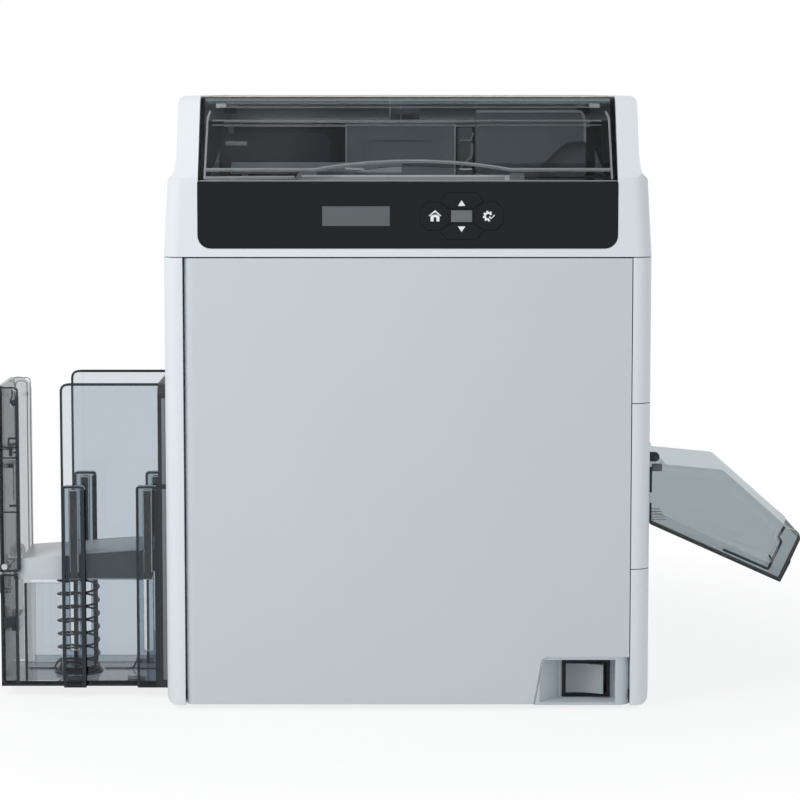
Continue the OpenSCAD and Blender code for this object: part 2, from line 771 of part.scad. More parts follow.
// band along the front face between two depths behind it
module front_band(d, z)
    along_x([-lid_half + lid_t, lid_half - lid_t])
        polygon([for (k = [[0, 0], [0, 1], [1, 1], [1, 0]])
            [lid_y0 + d[k[0]] + lean * (z[k[1]] - lid_z0), z[k[1]]]]);

// finger grip: a segment of a large circle, let into the thick rim
grip_r = (grip_half * grip_half + grip_h * grip_h) / (2 * grip_h);
grip_x = 4;
module top_lid() color(smoke) place() difference()
{
    union()
    {
        difference()
        {
            along_x([-lid_half, lid_half]) lid_side(0);
            along_x([-lid_half + lid_t, lid_half - lid_t]) lid_side(lid_t);
        }
        front_band([lid_t - 0.2, rim_t], [lid_z0, lid_z0 + rim_h]);
        mirrored()
            rod_x(lid_axis_y, lid_axis_z, lid_pin_r + 2.6, [lid_half - lid_t - 5, lid_half - lid_t + EPS]);
    }
    intersection()
    {
        front_band([-1, rim_t - 2.2], [lid_z0 - 1, lid_z0 + rim_h]);
        along_y([front_y - 1, front_y + 20]) intersection()
        {
            translate([grip_x, lid_z0 + grip_h - grip_r]) circle(r = grip_r, $fn = 180);
            translate([grip_x - grip_half, lid_z0 - 2]) square([2 * grip_half, grip_h + 4]);
        }
    }
    rod_x(lid_axis_y, lid_axis_z, lid_pin_r + run_fit, [-lid_half - 1, lid_half + 1]);
}

// grey mouldings in the bay: middle block, latch post, right block, bracket and slotted left plate
module bay_blocks() color(mid_grey) place()
{
    block_y = front_y + bar_y;
    difference()
    {
        span([-41.6, 32.3], [block_y - 36, block_y - 0.4], [bay_z, bar_top - 1.5]);
        for (x = [-29, 19])
            span([x - 1, x + 1], [block_y - 37, block_y - 35], [bay_z + 6, bar_top]);
        span([-26, 16], [block_y - 37, block_y - 34.8], [bay_z + 14, bar_top - 12]);
    }
    span([-12.8, 8.4], [block_y + 30, block_y + 46], [bay_z, bar_top + 12]);
    span([-9, 4.6], [block_y + 24, block_y + 30], [bar_top + 5, bar_top + 9]);
    difference()
    {
        along_y([block_y - 30, block_y - 0.4])
            outline([[46, bay_z], [46, bar_top + 8], [120.3, bar_top + 8, 12], [120.3, bay_z]]);
        along_y([block_y - 31, block_y - 24])
            polygon([[88, bay_z - 1], [88, bay_z + 6], [107, bay_z + 24], [121, bay_z + 24],
                [121, bay_z - 1]]);
    }
    span([34, 44], [block_y - 20, block_y - 12], [bay_z, bar_top - 4]);
    difference()
    {
        along_y([block_y - 48, block_y - 45])
            outline([[-124, bay_z], [-124, bay_z + 30, 6], [-52, bay_z + 30, 6], [-52, bay_z]]);
        span([-121, -107], [block_y - 50, block_y - 44], [bay_z + 22.5, bay_z + 25]);
    }
}

// tilted instruction plate on two small feet, left bare
module bay_label_plate() color("#c9cdcf") place()
{
    translate([0, front_y + 26, bay_z + 4]) rotate([18, 0, 0]) span([-115, -4], [0, 19], [0, 1.6]);
    for (x = [-108, -15])
        span([x, x + 4], [front_y + 34, front_y + 38], [bay_z, bay_z + 6.6]);
}

// ---- hinge pins of the lid, the gate and the tray ----

gate_pin_x = hop_x0 + 3.2;
gate_pin_z = gate_z + 5.5;
tray_pin_x = half_w + tray_pivot_x;
lug_t = 3;
// each pair of small pins runs from the fixed lug into the moving wall
function small_pin_y(side) =
    side < 0 ? [hop_y0 - lug_t, hop_y0 + clear_t + 1] : [hop_y1 - clear_t - 1, hop_y1 + lug_t];

module hinge_pins() color(steel) place()
{
    mirrored()
        rod_x(lid_axis_y, lid_axis_z, lid_pin_r, [lid_half - lid_t - 4, cheek_in + wall - 0.5]);
    for (side = [-1, 1])
    {
        rod_y(gate_pin_x, gate_pin_z, small_pin_r, small_pin_y(side));
        rod_y(tray_pin_x, tray_pivot_z, small_pin_r, small_pin_y(side));
    }
}

// ---- hopper ----

hop_wall_x = [hop_x1 - hopper_wall_w, hop_x1];
post_x = [hop_x1 - hopper_wall_w + 1.2, hop_x1 - post_w + 0.2];
post_top = hopper_z + post_h;
tongue_top = lift_z + tongue_h;
lift_z0 = lift_z - lift_t;
lift_y = [hop_y0 + clear_t + slide_fit, hop_y1 - clear_t - slide_fit];
spring_x = (hop_x0 + hop_x1) / 2 - 5;
spring_z = [hop_floor_z, lift_z0 - 4];

// black plate that carries the hopper on the side of the body
module hopper_mount() color(dark) place() difference()
{
    along_x([hop_x1, -half_w])
        outline([[hop_y0 - post_t, hopper_z], [hop_y0 - post_t, hop_top_z, 8],
            [hop_y1 + post_t, hop_top_z, 8], [hop_y1 + post_t, hopper_z]]);
    feed_opening();
    for (z = [40, 150])
        rod_x(mid_y, z, 2.6, [hop_x1 - 1, hop_x1 + 3]);
}

// clear wall with two guide posts on its outer face; side is -1 at the front and 1 at the rear
module hopper_wall(side)
{
    y_out = side < 0 ? hop_y0 : hop_y1;
    wall_y = side < 0 ? [hop_y0, hop_y0 + clear_t] : [hop_y1 - clear_t, hop_y1];
    post_y = side < 0 ? [y_out - post_t, y_out] : [y_out, y_out + post_t];
    slot_y = side < 0 ? [y_out - post_t + 1.5, wall_y[1] + 1] : [wall_y[0] - 1, y_out + post_t - 1.5];
    top = side < 0 ? hop_top_z : hop_top_z + rear_rise;
    difference()
    {
        union()
        {
            along_y(wall_y) outline([[hop_wall_x[0], hop_floor_z], [hop_wall_x[0], top, 5],
                [hop_wall_x[1], top], [hop_wall_x[1], hop_floor_z]]);
            for (x = post_x)
                along_y(post_y) outline([[x, hopper_z], [x, post_top, 1.8],
                    [x + post_w - 0.2, post_top, 1.8], [x + post_w - 0.2, hopper_z]]);
        }
        for (x = post_x)
            span([x + post_w / 2 - tongue_w / 2 - slide_fit, x + post_w / 2 + tongue_w / 2 + slide_fit],
                slot_y, [lift_z0 - lift_travel - 7, tongue_top + slide_fit]);
    }
}

module hopper_front_wall() color(smoke) place() hopper_wall(-1);
module hopper_rear_wall() color(smoke) place() hopper_wall(1);

// floor with the spring's seat, and the fixed foot of the outer wall with the gate's lugs
module hopper_base() color(smoke) place() difference()
{
    union()
    {
        span([hop_x0, hop_x1], [hop_y0, hop_y1], [hopper_z, hop_floor_z]);
        span([hop_x0, hop_x0 + clear_t], [hop_y0, hop_y1], [hop_floor_z, gate_z]);
        for (y = [hop_y0, hop_y1 - clear_t])
            span([hop_x0 + clear_t, hop_x0 + gate_flange - 2], [y, y + clear_t], [hop_floor_z, gate_z]);
        for (y = [[hop_y0 - lug_t, hop_y0 - 0.3], [hop_y1 + 0.3, hop_y1 + lug_t]])
            along_y(y) outline([[hop_x0, gate_z - 12], [hop_x0, gate_pin_z + 4, 3.5],
                [gate_pin_x + 4.5, gate_pin_z + 4, 3.5], [gate_pin_x + 4.5, gate_z - 12]]);
        for (y = [[hop_y0 - 0.3, hop_y0], [hop_y1, hop_y1 + 0.3]])
            span([hop_x0, gate_pin_x + 4.5], y, [gate_z - 12, gate_z - 1]);
        rod_z(spring_x, mid_y, spring_r - spring_wire - 1, [hop_floor_z, hop_floor_z + 5]);
        for (x = [hop_x1 - 62, hop_x1 - 22])
            for (y = [hop_y0 + clear_t + 1, hop_y1 - clear_t - 5])
                span([x, x + 12], [y, y + 4], [hop_floor_z, hop_floor_z + 3]);
        span([hop_x0 + clear_t, hop_x0 + clear_t + 7], [mid_y - 12, mid_y + 12], [40, 50]);
    }
    rod_y(gate_pin_x, gate_pin_z, small_pin_r + still_fit, [hop_y0 - lug_t - 1, hop_y1 + lug_t + 1]);
    rod_z(spring_x, mid_y, 6, [hopper_z - 1, hop_floor_z + 6]);
}

// hinged upper half of the outer wall, a channel with a catch ball near its top
module hopper_gate() color(smoke) place() difference()
{
    union()
    {
        along_x([hop_x0, hop_x0 + clear_t])
            outline([[hop_y0, gate_z + 1.5], [hop_y0, hop_top_z - 2, 6],
                [hop_y1, hop_top_z - 2, 6], [hop_y1, gate_z + 1.5]]);
        for (y = [hop_y0, hop_y1 - clear_t])
            along_y([y, y + clear_t])
                outline([[hop_x0, gate_z + 1.5], [hop_x0, hop_top_z - 2, 4],
                    [hop_x0 + gate_flange, hop_top_z - 2, 9], [hop_x0 + gate_flange, gate_z + 1.5]]);
        for (z = [0, 1])
            span([hop_x0 + clear_t, hop_x0 + clear_t + 4], [mid_y - 9, mid_y + 9],
                [150 + 12 * z, 153 + 12 * z]);
        for (y = [hop_y0 + clear_t - 1.2, hop_y1 - clear_t + 1.2])
            translate([hop_x0 + gate_flange - 4, y, hop_top_z - 14]) sphere(r = 2.4);
    }
    for (y = [[hop_y0 - 1, hop_y0 + clear_t + 1.5], [hop_y1 - clear_t - 1.5, hop_y1 + 1]])
        rod_y(gate_pin_x, gate_pin_z, small_pin_r + run_fit, y);
    // the spheres are left inside the flanges only
    for (y = [[hop_y0 - 4, hop_y0], [hop_y1, hop_y1 + 4]])
        span([hop_x0, hop_x0 + gate_flange + 3], y, [hop_top_z - 20, hop_top_z - 8]);
}

// platform that rises towards the printer, with a skirt, four tall guide tongues and a boss for the spring
lift_x = [hop_x0 + clear_t + 10, hop_x1 - 1];
module hopper_platform() color(pale) place()
{
    along_y(lift_y)
        outline([[lift_x[0], lift_z0, 1], [lift_x[0], lift_z, 1.5],
            [lift_x[1], lift_z + lift_rise, 1.5], [lift_x[1], lift_z0, 1]]);
    for (y = [lift_y[0], lift_y[1] - 2])
        span([lift_x[0] - 4, lift_x[1] - 4], [y, y + 2], [lift_z0 - 6, lift_z0 + 1]);
    rod_z(spring_x, mid_y, spring_r + 2.5, [lift_z0 - 4, lift_z0 + 1]);
    rod_z(spring_x, mid_y, spring_r - spring_wire - 1, [lift_z0 - 9, lift_z0 - 3]);
    for (x = post_x, side = [-1, 1])
    {
        tongue_x = [x + post_w / 2 - tongue_w / 2, x + post_w / 2 + tongue_w / 2];
        span(tongue_x, side < 0 ? [hop_y0 - post_t + 2, lift_y[0]] : [lift_y[1], hop_y1 + post_t - 2],
            [lift_z0, tongue_top]);
        span(tongue_x, side < 0 ? [lift_y[0] - 1, lift_y[0] + 2] : [lift_y[1] - 2, lift_y[1] + 1],
            [lift_z0, lift_z - 2]);
    }
}

// coil swept as one tube, with closed flat end turns
coil_sides = 8;
coil_steps = 14;
coil_r = spring_r - spring_wire / 2;
coil_n = round((spring_turns + 1.5) * coil_steps);
function coil_point(i) =
    let (t = i / coil_steps,
        rise = max(0, min(spring_turns, t - 0.75)) / spring_turns,
        z0 = spring_z[0] + spring_wire / 2 + 0.2,
        z1 = spring_z[1] - spring_wire / 2 - 0.2)
    [coil_r * cos(360 * t), coil_r * sin(360 * t), z0 + (z1 - z0) * rise];
function coil_ring(i) =
    let (p = coil_point(i), a = 360 * i / coil_steps)
    [for (k = [0:coil_sides - 1])
        let (u = spring_wire / 2 * cos(360 * k / coil_sides),
            w = spring_wire / 2 * sin(360 * k / coil_sides))
        [p.x + u * cos(a), p.y + u * sin(a), p.z + w]];
module hopper_spring() color(steel) place() translate([spring_x, mid_y, 0])
    polyhedron(
        points = [for (i = [0:coil_n]) each coil_ring(i)],
        faces = concat([[for (k = [0:coil_sides - 1]) k]],
            [for (i = [0:coil_n - 1], k = [0:coil_sides - 1])
                let (a = i * coil_sides, n = (k + 1) % coil_sides)
                each [[a + k, a + k + coil_sides, a + n + coil_sides], [a + k, a + n + coil_sides, a + n]]],
            [[for (k = [coil_sides - 1:-1:0]) coil_n * coil_sides + k]]));

// ---- output tray ----

tray_x0 = half_w + 3.2;
tray_x1 = half_w + tray_reach;
tray_top = tray_pivot_z - 5;
tray_foot = tray_top - tray_wall_h;
ear_r = small_pin_r + 1.1;
tip_x = tray_x1 - 13.2;
tip_z = tray_foot - tan(tray_slope) * (tip_x - tray_x0);
// side wall: the top edge bends down to the end wall and the underside falls to the right
function tray_profile(rise) =
    [[tray_x0, tray_top + 0.5 + rise], [tray_x0 + 48.2, tray_top - 4.1 + rise, 6],
    [tray_x1 - 8.2, tray_top - 43 + rise, 3], [tray_x1 - 1.6, tray_top - 45, 2.5],
    [tray_x1, tray_top - 50, 2], [tip_x, tip_z, 1], [tray_x0, tray_foot, 1]];

// black frame round the exit slot with the ears that hold the tray's pins
module exit_frame() color(dark) place() difference()
{
    union()
    {
        along_x([half_w, half_w + 2.5])
            outline([[hop_y0 - lug_t, tray_foot - 4], [hop_y0 - lug_t, tray_pivot_z + 4, 2],
                [hop_y1 + lug_t, tray_pivot_z + 4, 2], [hop_y1 + lug_t, tray_foot - 4]]);
        for (y = [[hop_y0 - lug_t, hop_y0 - 0.3], [hop_y1 + 0.3, hop_y1 + lug_t]])
            along_y(y) outline([[half_w, tray_pivot_z - ear_r], [half_w, tray_pivot_z + ear_r],
                [tray_pin_x + ear_r, tray_pivot_z + ear_r, 3],
                [tray_pin_x + ear_r, tray_pivot_z - ear_r, 3]]);
    }
    exit_opening();
    rod_y(tray_pin_x, tray_pivot_z, small_pin_r + still_fit, [hop_y0 - lug_t - 1, hop_y1 + lug_t + 1]);
}

// clear trough: two side walls with ears, a sloping floor and an end wall that cards stop against
module output_tray() color(smoke) place() difference()
{
    union()
    {
        along_y([hop_y0, hop_y1]) outline(tray_profile(0));
        along_y([hop_y1 - clear_t, hop_y1]) outline(tray_profile(tray_rise));
        for (y = [hop_y0, hop_y1 - clear_t])
        {
            rod_y(tray_pin_x, tray_pivot_z, ear_r, [y, y + clear_t]);
            along_y([y, y + clear_t])
                polygon([[tray_pin_x - ear_r, tray_pivot_z], [tray_pin_x + ear_r, tray_pivot_z],
                    [tray_x0 + 12, tray_top - 2], [tray_x0 + 12, tray_top - 12], [tray_x0, tray_top - 12]]);
        }
    }
    along_y([hop_y0 + clear_t, hop_y1 - clear_t])
        polygon([[tray_x0 - 9, tray_top + 12], [tray_x1 + 1, tray_top + 12], [tray_x1 + 1, tray_top - 42],
            [tray_x1 - 2.6, tray_top - 50.5], [tip_x - 1.3, tip_z + clear_t + 0.8],
            [tray_x0 - 9, tray_foot + clear_t + tan(tray_slope) * 9.6]]);
    rod_y(tray_pin_x, tray_pivot_z, small_pin_r + run_fit, [hop_y0 - 1, hop_y1 + 1]);
}

// ---- print engine ----

// point at x on the path below the turning unit, moved by d square to the path
function on_slope(x, d) =
    [x + sin(path_slope) * d, path_z - tan(path_slope) * (x - turn_x) + cos(path_slope) * d];

engine_half = half_w - 6;
engine_top = bay_z - 8;
pick_at = [-half_w + 16, path_z + feed_r + 0.6];
feed_at = [-half_w + 47, path_z - feed_r - 0.5];
pinch_at = [feed_at.x, path_z + feed_r + 0.5];
turn_at = [turn_x, path_z];
heat_at = on_slope(62, heat_r + 0.6);
press_at = on_slope(62, -press_r - 0.6);
platen_at = [22, base_z + 80];
head_at = [platen_at.x - 42, base_z + 48];
pinion_at = [feed_at.x, feed_at.y - gear_mod * (gear_teeth + pinion_teeth) / 2];
hub_r = 6;
spool_shaft_r = 4;

// the two cassettes: centre of the opening and its size
ribbon_box = [[17 - engine_half, 95 - engine_half], [base_z + 22, base_z + 144]];
film_box = [[engine_half - 89, engine_half - 15], [base_z + 38, base_z + 138]];
flange_lip = 6;
spool_in = 52;
ribbon_supply_at = [spool_in - engine_half, base_z + 112];
ribbon_take_up_at = [spool_in - engine_half, base_z + 60];
film_supply_at = [engine_half - spool_in, base_z + 108];
film_take_up_at = [engine_half - spool_in, base_z + 66];
take_up_r = 14;

roller_shafts = [pick_at, feed_at, pinch_at, heat_at, press_at, platen_at, head_at];
spacer_x = engine_half - 11;
spacer_z = engine_top - 19;
spacers = [[-spacer_x, base_z + 12], [-spacer_x, spacer_z], [0, base_z + 14], [0, spacer_z],
    [spacer_x, base_z + 50], [spacer_x, spacer_z], [30, path_z + 56]];

// rounded outline of a cassette's opening, grown by g
module box_outline(b, g)
    outline([[b[0][0] - g, b[1][0] - g, 6], [b[0][1] + g, b[1][0] - g, 6],
        [b[0][1] + g, b[1][1] + g, 6], [b[0][0] - g, b[1][1] + g, 6]]);

module engine_plate(y) along_y(y)
    outline([[-engine_half, floor_z, base_r], [-engine_half, engine_top, 12],
        [engine_half, engine_top, 12], [engine_half, floor_z, base_r]]);

module shaft_holes(y)
{
    for (p = roller_shafts)
        rod_y(p.x, p.y, shaft_r + run_fit, [y[0] - 1, y[1] + 1]);
    rod_y(turn_at.x, turn_at.y, hub_r + run_fit, [y[0] - 1, y[1] + 1]);
}

module engine_front_plate() color(steel) place() difference()
{
    engine_plate([plate_y0, engine_y0]);
    shaft_holes([plate_y0, engine_y0]);
    for (b = [ribbon_box, film_box])
        along_y([plate_y0 - 1, engine_y0 + 1]) box_outline(b, 0);
    // corner cut away round the power switch
    span([sw_x - switch_w / 2 - 6, engine_half + 1], [plate_y0 - 1, engine_y0 + 1],
        [floor_z - 1, sw_z + switch_h / 2 + 5]);
    for (x = [-90:30:90])
        along_y([plate_y0 - 1, engine_y0 + 1]) translate([x, engine_top - 30]) round_rect(20, 30, 4);
}

module engine_rear_plate() color(steel) place()
{
    difference()
    {
        engine_plate([engine_y1, plate_y1]);
        shaft_holes([engine_y1, plate_y1]);
        for (p = [ribbon_supply_at, ribbon_take_up_at, film_supply_at, film_take_up_at])
            rod_y(p.x, p.y, spool_shaft_r + run_fit, [engine_y1 - 1, plate_y1 + 1]);
        for (x = [-70, 70])
            along_y([engine_y1 - 1, plate_y1 + 1]) translate([x, engine_top - 40]) round_rect(60, 40, 6);
    }
    for (p = spacers)
        rod_y(p.x, p.y, 4, [engine_y0, engine_y1]);
}

// rubber roller on a shaft that turns in both engine plates
module roller(at, r, front = 3, rear = 3)
{
    rod_y(at.x, at.y, r, [engine_y0 + 4, engine_y1 - 4]);
    rod_y(at.x, at.y, shaft_r + 2, [engine_y0 + 0.4, engine_y1 - 0.4]);
    rod_y(at.x, at.y, shaft_r, [plate_y0 - front, plate_y1 + rear]);
}

// spur gear with straight-flanked teeth, centred on the origin
module gear_2d(teeth)
{
    rp = gear_mod * teeth / 2;
    step = 360 / teeth;
    polygon([for (i = [0:teeth - 1])
        each [for (q = [[-0.31, -1.3], [-0.215, 0], [-0.1, 0.85], [0.1, 0.85], [0.215, 0], [0.31, -1.3]])
            (rp + q.y * gear_mod) * [cos((i + q.x) * step), sin((i + q.x) * step)]]]);
}

belt_y = [plate_y0 - 8, plate_y0 - 3];
pulley_r = 7;
module pulley(at)
{
    rod_y(at.x, at.y, pulley_r, belt_y);
    rod_y(at.x, at.y, pulley_r + 1.8, [belt_y[0] - 1, belt_y[0]]);
}

gear_y = [plate_y1 + 2, plate_y1 + 8];
module pick_roller() color(rubber) place()
{
    roller(pick_at, feed_r, front = 9);
    pulley(pick_at);
}

module feed_roller() color(rubber) place()
{
    roller(feed_at, feed_r, front = 9, rear = 9);
    pulley(feed_at);
    along_y(gear_y) translate(feed_at) rotate(90 + 180 / gear_teeth) gear_2d(gear_teeth);
}

module pinch_roller() color(mid_grey) place() roller(pinch_at, feed_r);
module heat_roller() color("#7c2f22") place() roller(heat_at, heat_r);
module pressure_roller() color(rubber) place() roller(press_at, press_r);
module platen_roller() color(rubber) place() roller(platen_at, platen_r);

// toothed belt from the feed roller's pulley to the pick roller's
module drive_belt() color(rubber) place() along_y([belt_y[0] + 0.5, belt_y[1] - 0.5])
{
    run = feed_at - pick_at;
    translate(pick_at) rotate(atan2(run.y, run.x)) difference()
    {
        belt_form(norm(run), pulley_r + 1.4);
        belt_form(norm(run), pulley_r + 0.3);
    }
}

module belt_form(l, r)
{
    translate([0, -r]) square([l, 2 * r]);
    circle(r = r);
    translate([l, 0]) circle(r = r);
}

// stepping motor on a plate that stands off the rear engine plate
motor_face = plate_y1 + 15;
module drive_motor() color(mid_grey) place() difference()
{
    union()
    {
        along_y([motor_face, motor_face + 2]) translate(pinion_at + [0, -3]) round_rect(58, 44, 4);
        along_y([motor_face + 2, motor_face + 38]) translate(pinion_at)
            outline([[-21, -21, 4], [21, -21, 4], [21, 21, 4], [-21, 21, 4]]);
        for (sx = [-25, 25], dz = [-21, 14])
            rod_y(pinion_at.x + sx, pinion_at.y + dz, 3, [plate_y1, motor_face]);
    }
    rod_y(pinion_at.x, pinion_at.y, 2.5 + run_fit, [motor_face - 1, motor_face + 12]);
}

module motor_pinion() color(brass) place()
{
    along_y([gear_y[0] - 1, gear_y[1] + 1]) translate(pinion_at)
        rotate(90) gear_2d(pinion_teeth);
    rod_y(pinion_at.x, pinion_at.y, 2.5, [gear_y[0] - 1, motor_face + 11]);
}

// carrier that turns the card over: side plates, two pairs of rollers and a hub at each end
module turning_unit() color(dark) place() translate([turn_at.x, 0, turn_at.y]) difference()
{
    union()
    {
        for (y = [[engine_y0 + 2, engine_y0 + 4.5], [engine_y1 - 4.5, engine_y1 - 2]])
            along_y(y) round_rect(turn_l, 24, 5);
        for (x = [-turn_l / 2 + 9, turn_l / 2 - 9], z = [-5.6, 5.6])
            rod_y(x, z, 5, [engine_y0 + 4.5, engine_y1 - 4.5]);
        for (z = [[-10.5, -8.5], [8.5, 10.5]])
            span([-12, 12], [engine_y0 + 4.5, engine_y1 - 4.5], z);
        rod_y(0, 0, hub_r, [plate_y0 - 2, engine_y0 + 2]);
        rod_y(0, 0, hub_r, [engine_y1 - 2, plate_y1 + 2]);
    }
}

// print head on an arm that swings away from the platen
module thermal_head() color(dark) place()
{
    face = platen_at.x - platen_r - 0.8;
    span([face - 15, face], [engine_y0 + 6, engine_y1 - 6], [platen_at.y - 10, platen_at.y + 10]);
    for (y = [engine_y0 + 6, engine_y1 - 9])
        span([head_at.x - 5, face - 9], [y, y + 3], [head_at.y - 5, platen_at.y + 10]);
    for (z = [-9:3:9])
        span([face - 19, face - 15], [engine_y0 + 12, engine_y1 - 12],
            [platen_at.y + z - 0.6, platen_at.y + z + 0.6]);
    rod_y(head_at.x, head_at.y, shaft_r, [plate_y0 - 3, plate_y1 + 3]);
}

// cassette: flange outside the front plate, two rails that reach in, and a bail handle
module cassette(b, shafts) difference()
{
    union()
    {
        along_y([plate_y0 - 3, plate_y0]) box_outline(b, flange_lip);
        for (z = [b[1][0] + 1, b[1][1] - 3])
            span([b[0][0] + 8, b[0][1] - 8], [plate_y0, engine_y1 - 0.3], [z, z + 2]);
        x0 = b[0][0] + 4;
        z0 = (b[1][0] + b[1][1]) / 2 - 18;
        span([x0, x0 + 9], [plate_y0 - 9, plate_y0 - 6], [z0, z0 + 36]);
        for (z = [z0, z0 + 33])
            span([x0, x0 + 9], [plate_y0 - 6, plate_y0 - 3], [z, z + 3]);
    }
    for (p = shafts)
        rod_y(p.x, p.y, spool_shaft_r + run_fit, [plate_y0 - 4, plate_y0 + 1]);
}

module ribbon_cassette() color(mid_grey) place() cassette(ribbon_box, [ribbon_supply_at, ribbon_take_up_at]);
module film_cassette() color(mid_grey) place() cassette(film_box, [film_supply_at, film_take_up_at]);

module spool(at, r)
{
    rod_y(at.x, at.y, r, [engine_y0 + 6, engine_y1 - 6]);
    for (y = [[engine_y0 + 3.5, engine_y0 + 6], [engine_y1 - 6, engine_y1 - 3.5]])
        rod_y(at.x, at.y, 11, y);
    rod_y(at.x, at.y, spool_shaft_r, [plate_y0 - 5, plate_y1 + 2]);
}

module ribbon_supply_spool() color("#3b2a55") place() spool(ribbon_supply_at, roll_r);
module ribbon_take_up_spool() color("#3b2a55") place() spool(ribbon_take_up_at, take_up_r);
module film_supply_spool() color("#a9a48c") place() spool(film_supply_at, roll_r);
module film_take_up_spool() color("#a9a48c") place() spool(film_take_up_at, take_up_r);

// ---- electronics ----

main_y = plate_y1 + 34;
main_z = engine_top - 223;
module main_board() color(board_green) place()
{
    span([-54, 74], [main_y, main_y + 1.6], [main_z, main_z + 186]);
    for (x = [-48, 68], z = [main_z + 6, main_z + 180])
        rod_y(x, z, 3, [plate_y1, main_y]);
    for (c = [[-34, 138, 28, 28], [14, 134, 20, 30], [-30, 88, 18, 12], [6, 92, 34, 18], [-34, 48, 12, 22]])
        span([c[0], c[0] + c[2]], [main_y + 1.6, main_y + 4], [main_z + c[1], main_z + c[1] + c[3]]);
    for (i = [0:3])
        span([48, 58], [main_y + 1.6, main_y + 11], [main_z + 18 + 24 * i, main_z + 34 + 24 * i]);
    for (i = [0:6])
        span([-14 + 6 * i, -12 + 6 * i], [main_y + 1.6, main_y + 16], [main_z + 18, main_z + 58]);
}

supply_x = [half_w - 131, half_w - 15];
supply_y = [rear_y - 161, rear_y - 31];
module power_supply() color(steel) place() difference()
{
    span(supply_x, supply_y, [floor_z, floor_z + 46]);
    span([supply_x[0] + 2, supply_x[1] - 2], [supply_y[0] + 2, supply_y[1] - 2], [floor_z + 2, floor_z + 44]);
    for (x = [supply_x[0] + 10:8:supply_x[1] - 10])
        along_z([floor_z + 43, floor_z + 47]) translate([x, supply_y[0] + 66]) round_rect(4, 90, 1.9);
}

module rear_ports() color(gloss_black) place() difference()
{
    union()
    {
        span([inlet_x - 23.9, inlet_x + 23.9], [rear_y - 24, rear_y], [inlet_z - 11.9, inlet_z + 11.9]);
        span([-111.9, -62.1], [rear_y - 18, rear_y], [inlet_z - 8.9, inlet_z + 8.9]);
    }
    difference()
    {
        along_y([rear_y - 18, rear_y + 1]) translate([inlet_x, inlet_z])
            outline([[-12, -8, 1], [12, -8, 1], [12, 3, 1], [8, 8, 1], [-8, 8, 1], [-12, 3, 1]]);
        for (p = [[-7, -2], [0, 2], [7, -2]])
            span([inlet_x + p.x - 1, inlet_x + p.x + 1], [rear_y - 19, rear_y - 5],
                [inlet_z + p.y - 2, inlet_z + p.y + 2]);
    }
    span([-106, -94], [rear_y - 12, rear_y + 1], [inlet_z - 5.5, inlet_z + 5.5]);
    span([-84, -68], [rear_y - 13, rear_y + 1], [inlet_z - 6.5, inlet_z + 6.5]);
}

fan_y = [rear_y - wall - 15.2, rear_y - wall - 0.2];
fan_pin_r = 1.6;
module fan_frame() color(dark) place() translate([fan_x, 0, fan_z])
{
    difference()
    {
        along_y(fan_y) round_rect(fan_size, fan_size, 4);
        rod_y(0, 0, fan_size / 2 - 1.5, [fan_y[0] - 1, fan_y[1] + 1]);
        for (sx = [-1, 1], sz = [-1, 1])
            rod_y(sx * (fan_size / 2 - 5), sz * (fan_size / 2 - 5), 2, [fan_y[0] - 1, fan_y[1] + 1]);
    }
    for (a = [45:90:315])
        rotate([0, a, 0]) span([7, fan_size / 2 - 1], [fan_y[0], fan_y[0] + 1.6], [-1.5, 1.5]);
    rod_y(0, 0, 9, [fan_y[0], fan_y[0] + 1.6]);
    rod_y(0, 0, fan_pin_r, [fan_y[0] + 1.6, fan_y[1] - 2]);
}

module fan_rotor() color(gloss_black) place() translate([fan_x, 0, fan_z]) difference()
{
    union()
    {
        rod_y(0, 0, 11, [fan_y[0] + 2.2, fan_y[1] - 1]);
        for (a = [0:360 / 7:359])
            rotate([0, a, 0]) translate([0, (fan_y[0] + fan_y[1]) / 2 + 0.6, 0])
                rotate([38, 0, 0]) span([9, fan_size / 2 - 3.5], [-6.2, 6.2], [-0.6, 0.6]);
    }
    rod_y(0, 0, fan_pin_r + run_fit, [fan_y[0], fan_y[1] - 1.8]);
}

base_pan();
left_side_panel();
right_panel_lower();
right_panel_middle();
right_panel_upper();
rear_panel();
collar();
top_housing();
bay_deck();
feet();
control_panel();
display_window();
status_light();
keypad_board();
key_up();
key_down();
key_home();
key_settings();
front_door();
door_hinges();
switch_recess();
power_switch();
power_rocker();
top_lid();
hinge_pins();
bay_blocks();
bay_label_plate();
hopper_mount();
hopper_front_wall();
hopper_rear_wall();
hopper_base();
hopper_gate();
hopper_platform();
hopper_spring();
exit_frame();
output_tray();
engine_front_plate();
engine_rear_plate();
pick_roller();
feed_roller();
pinch_roller();
drive_belt();
drive_motor();
motor_pinion();
turning_unit();
heat_roller();
pressure_roller();
platen_roller();
thermal_head();
ribbon_cassette();
ribbon_supply_spool();
ribbon_take_up_spool();
film_cassette();
film_supply_spool();
film_take_up_spool();
main_board();
power_supply();
rear_ports();
fan_frame();
fan_rotor();
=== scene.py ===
"""Finishes, trim, lamps and camera for a desktop card printer.

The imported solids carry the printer's shape. This add-on gives each of them the surface of its real material and adds
the small pieces that the solids leave out: key symbols, dark rims of the clear parts, catches, seals and screw heads.
"""
import math

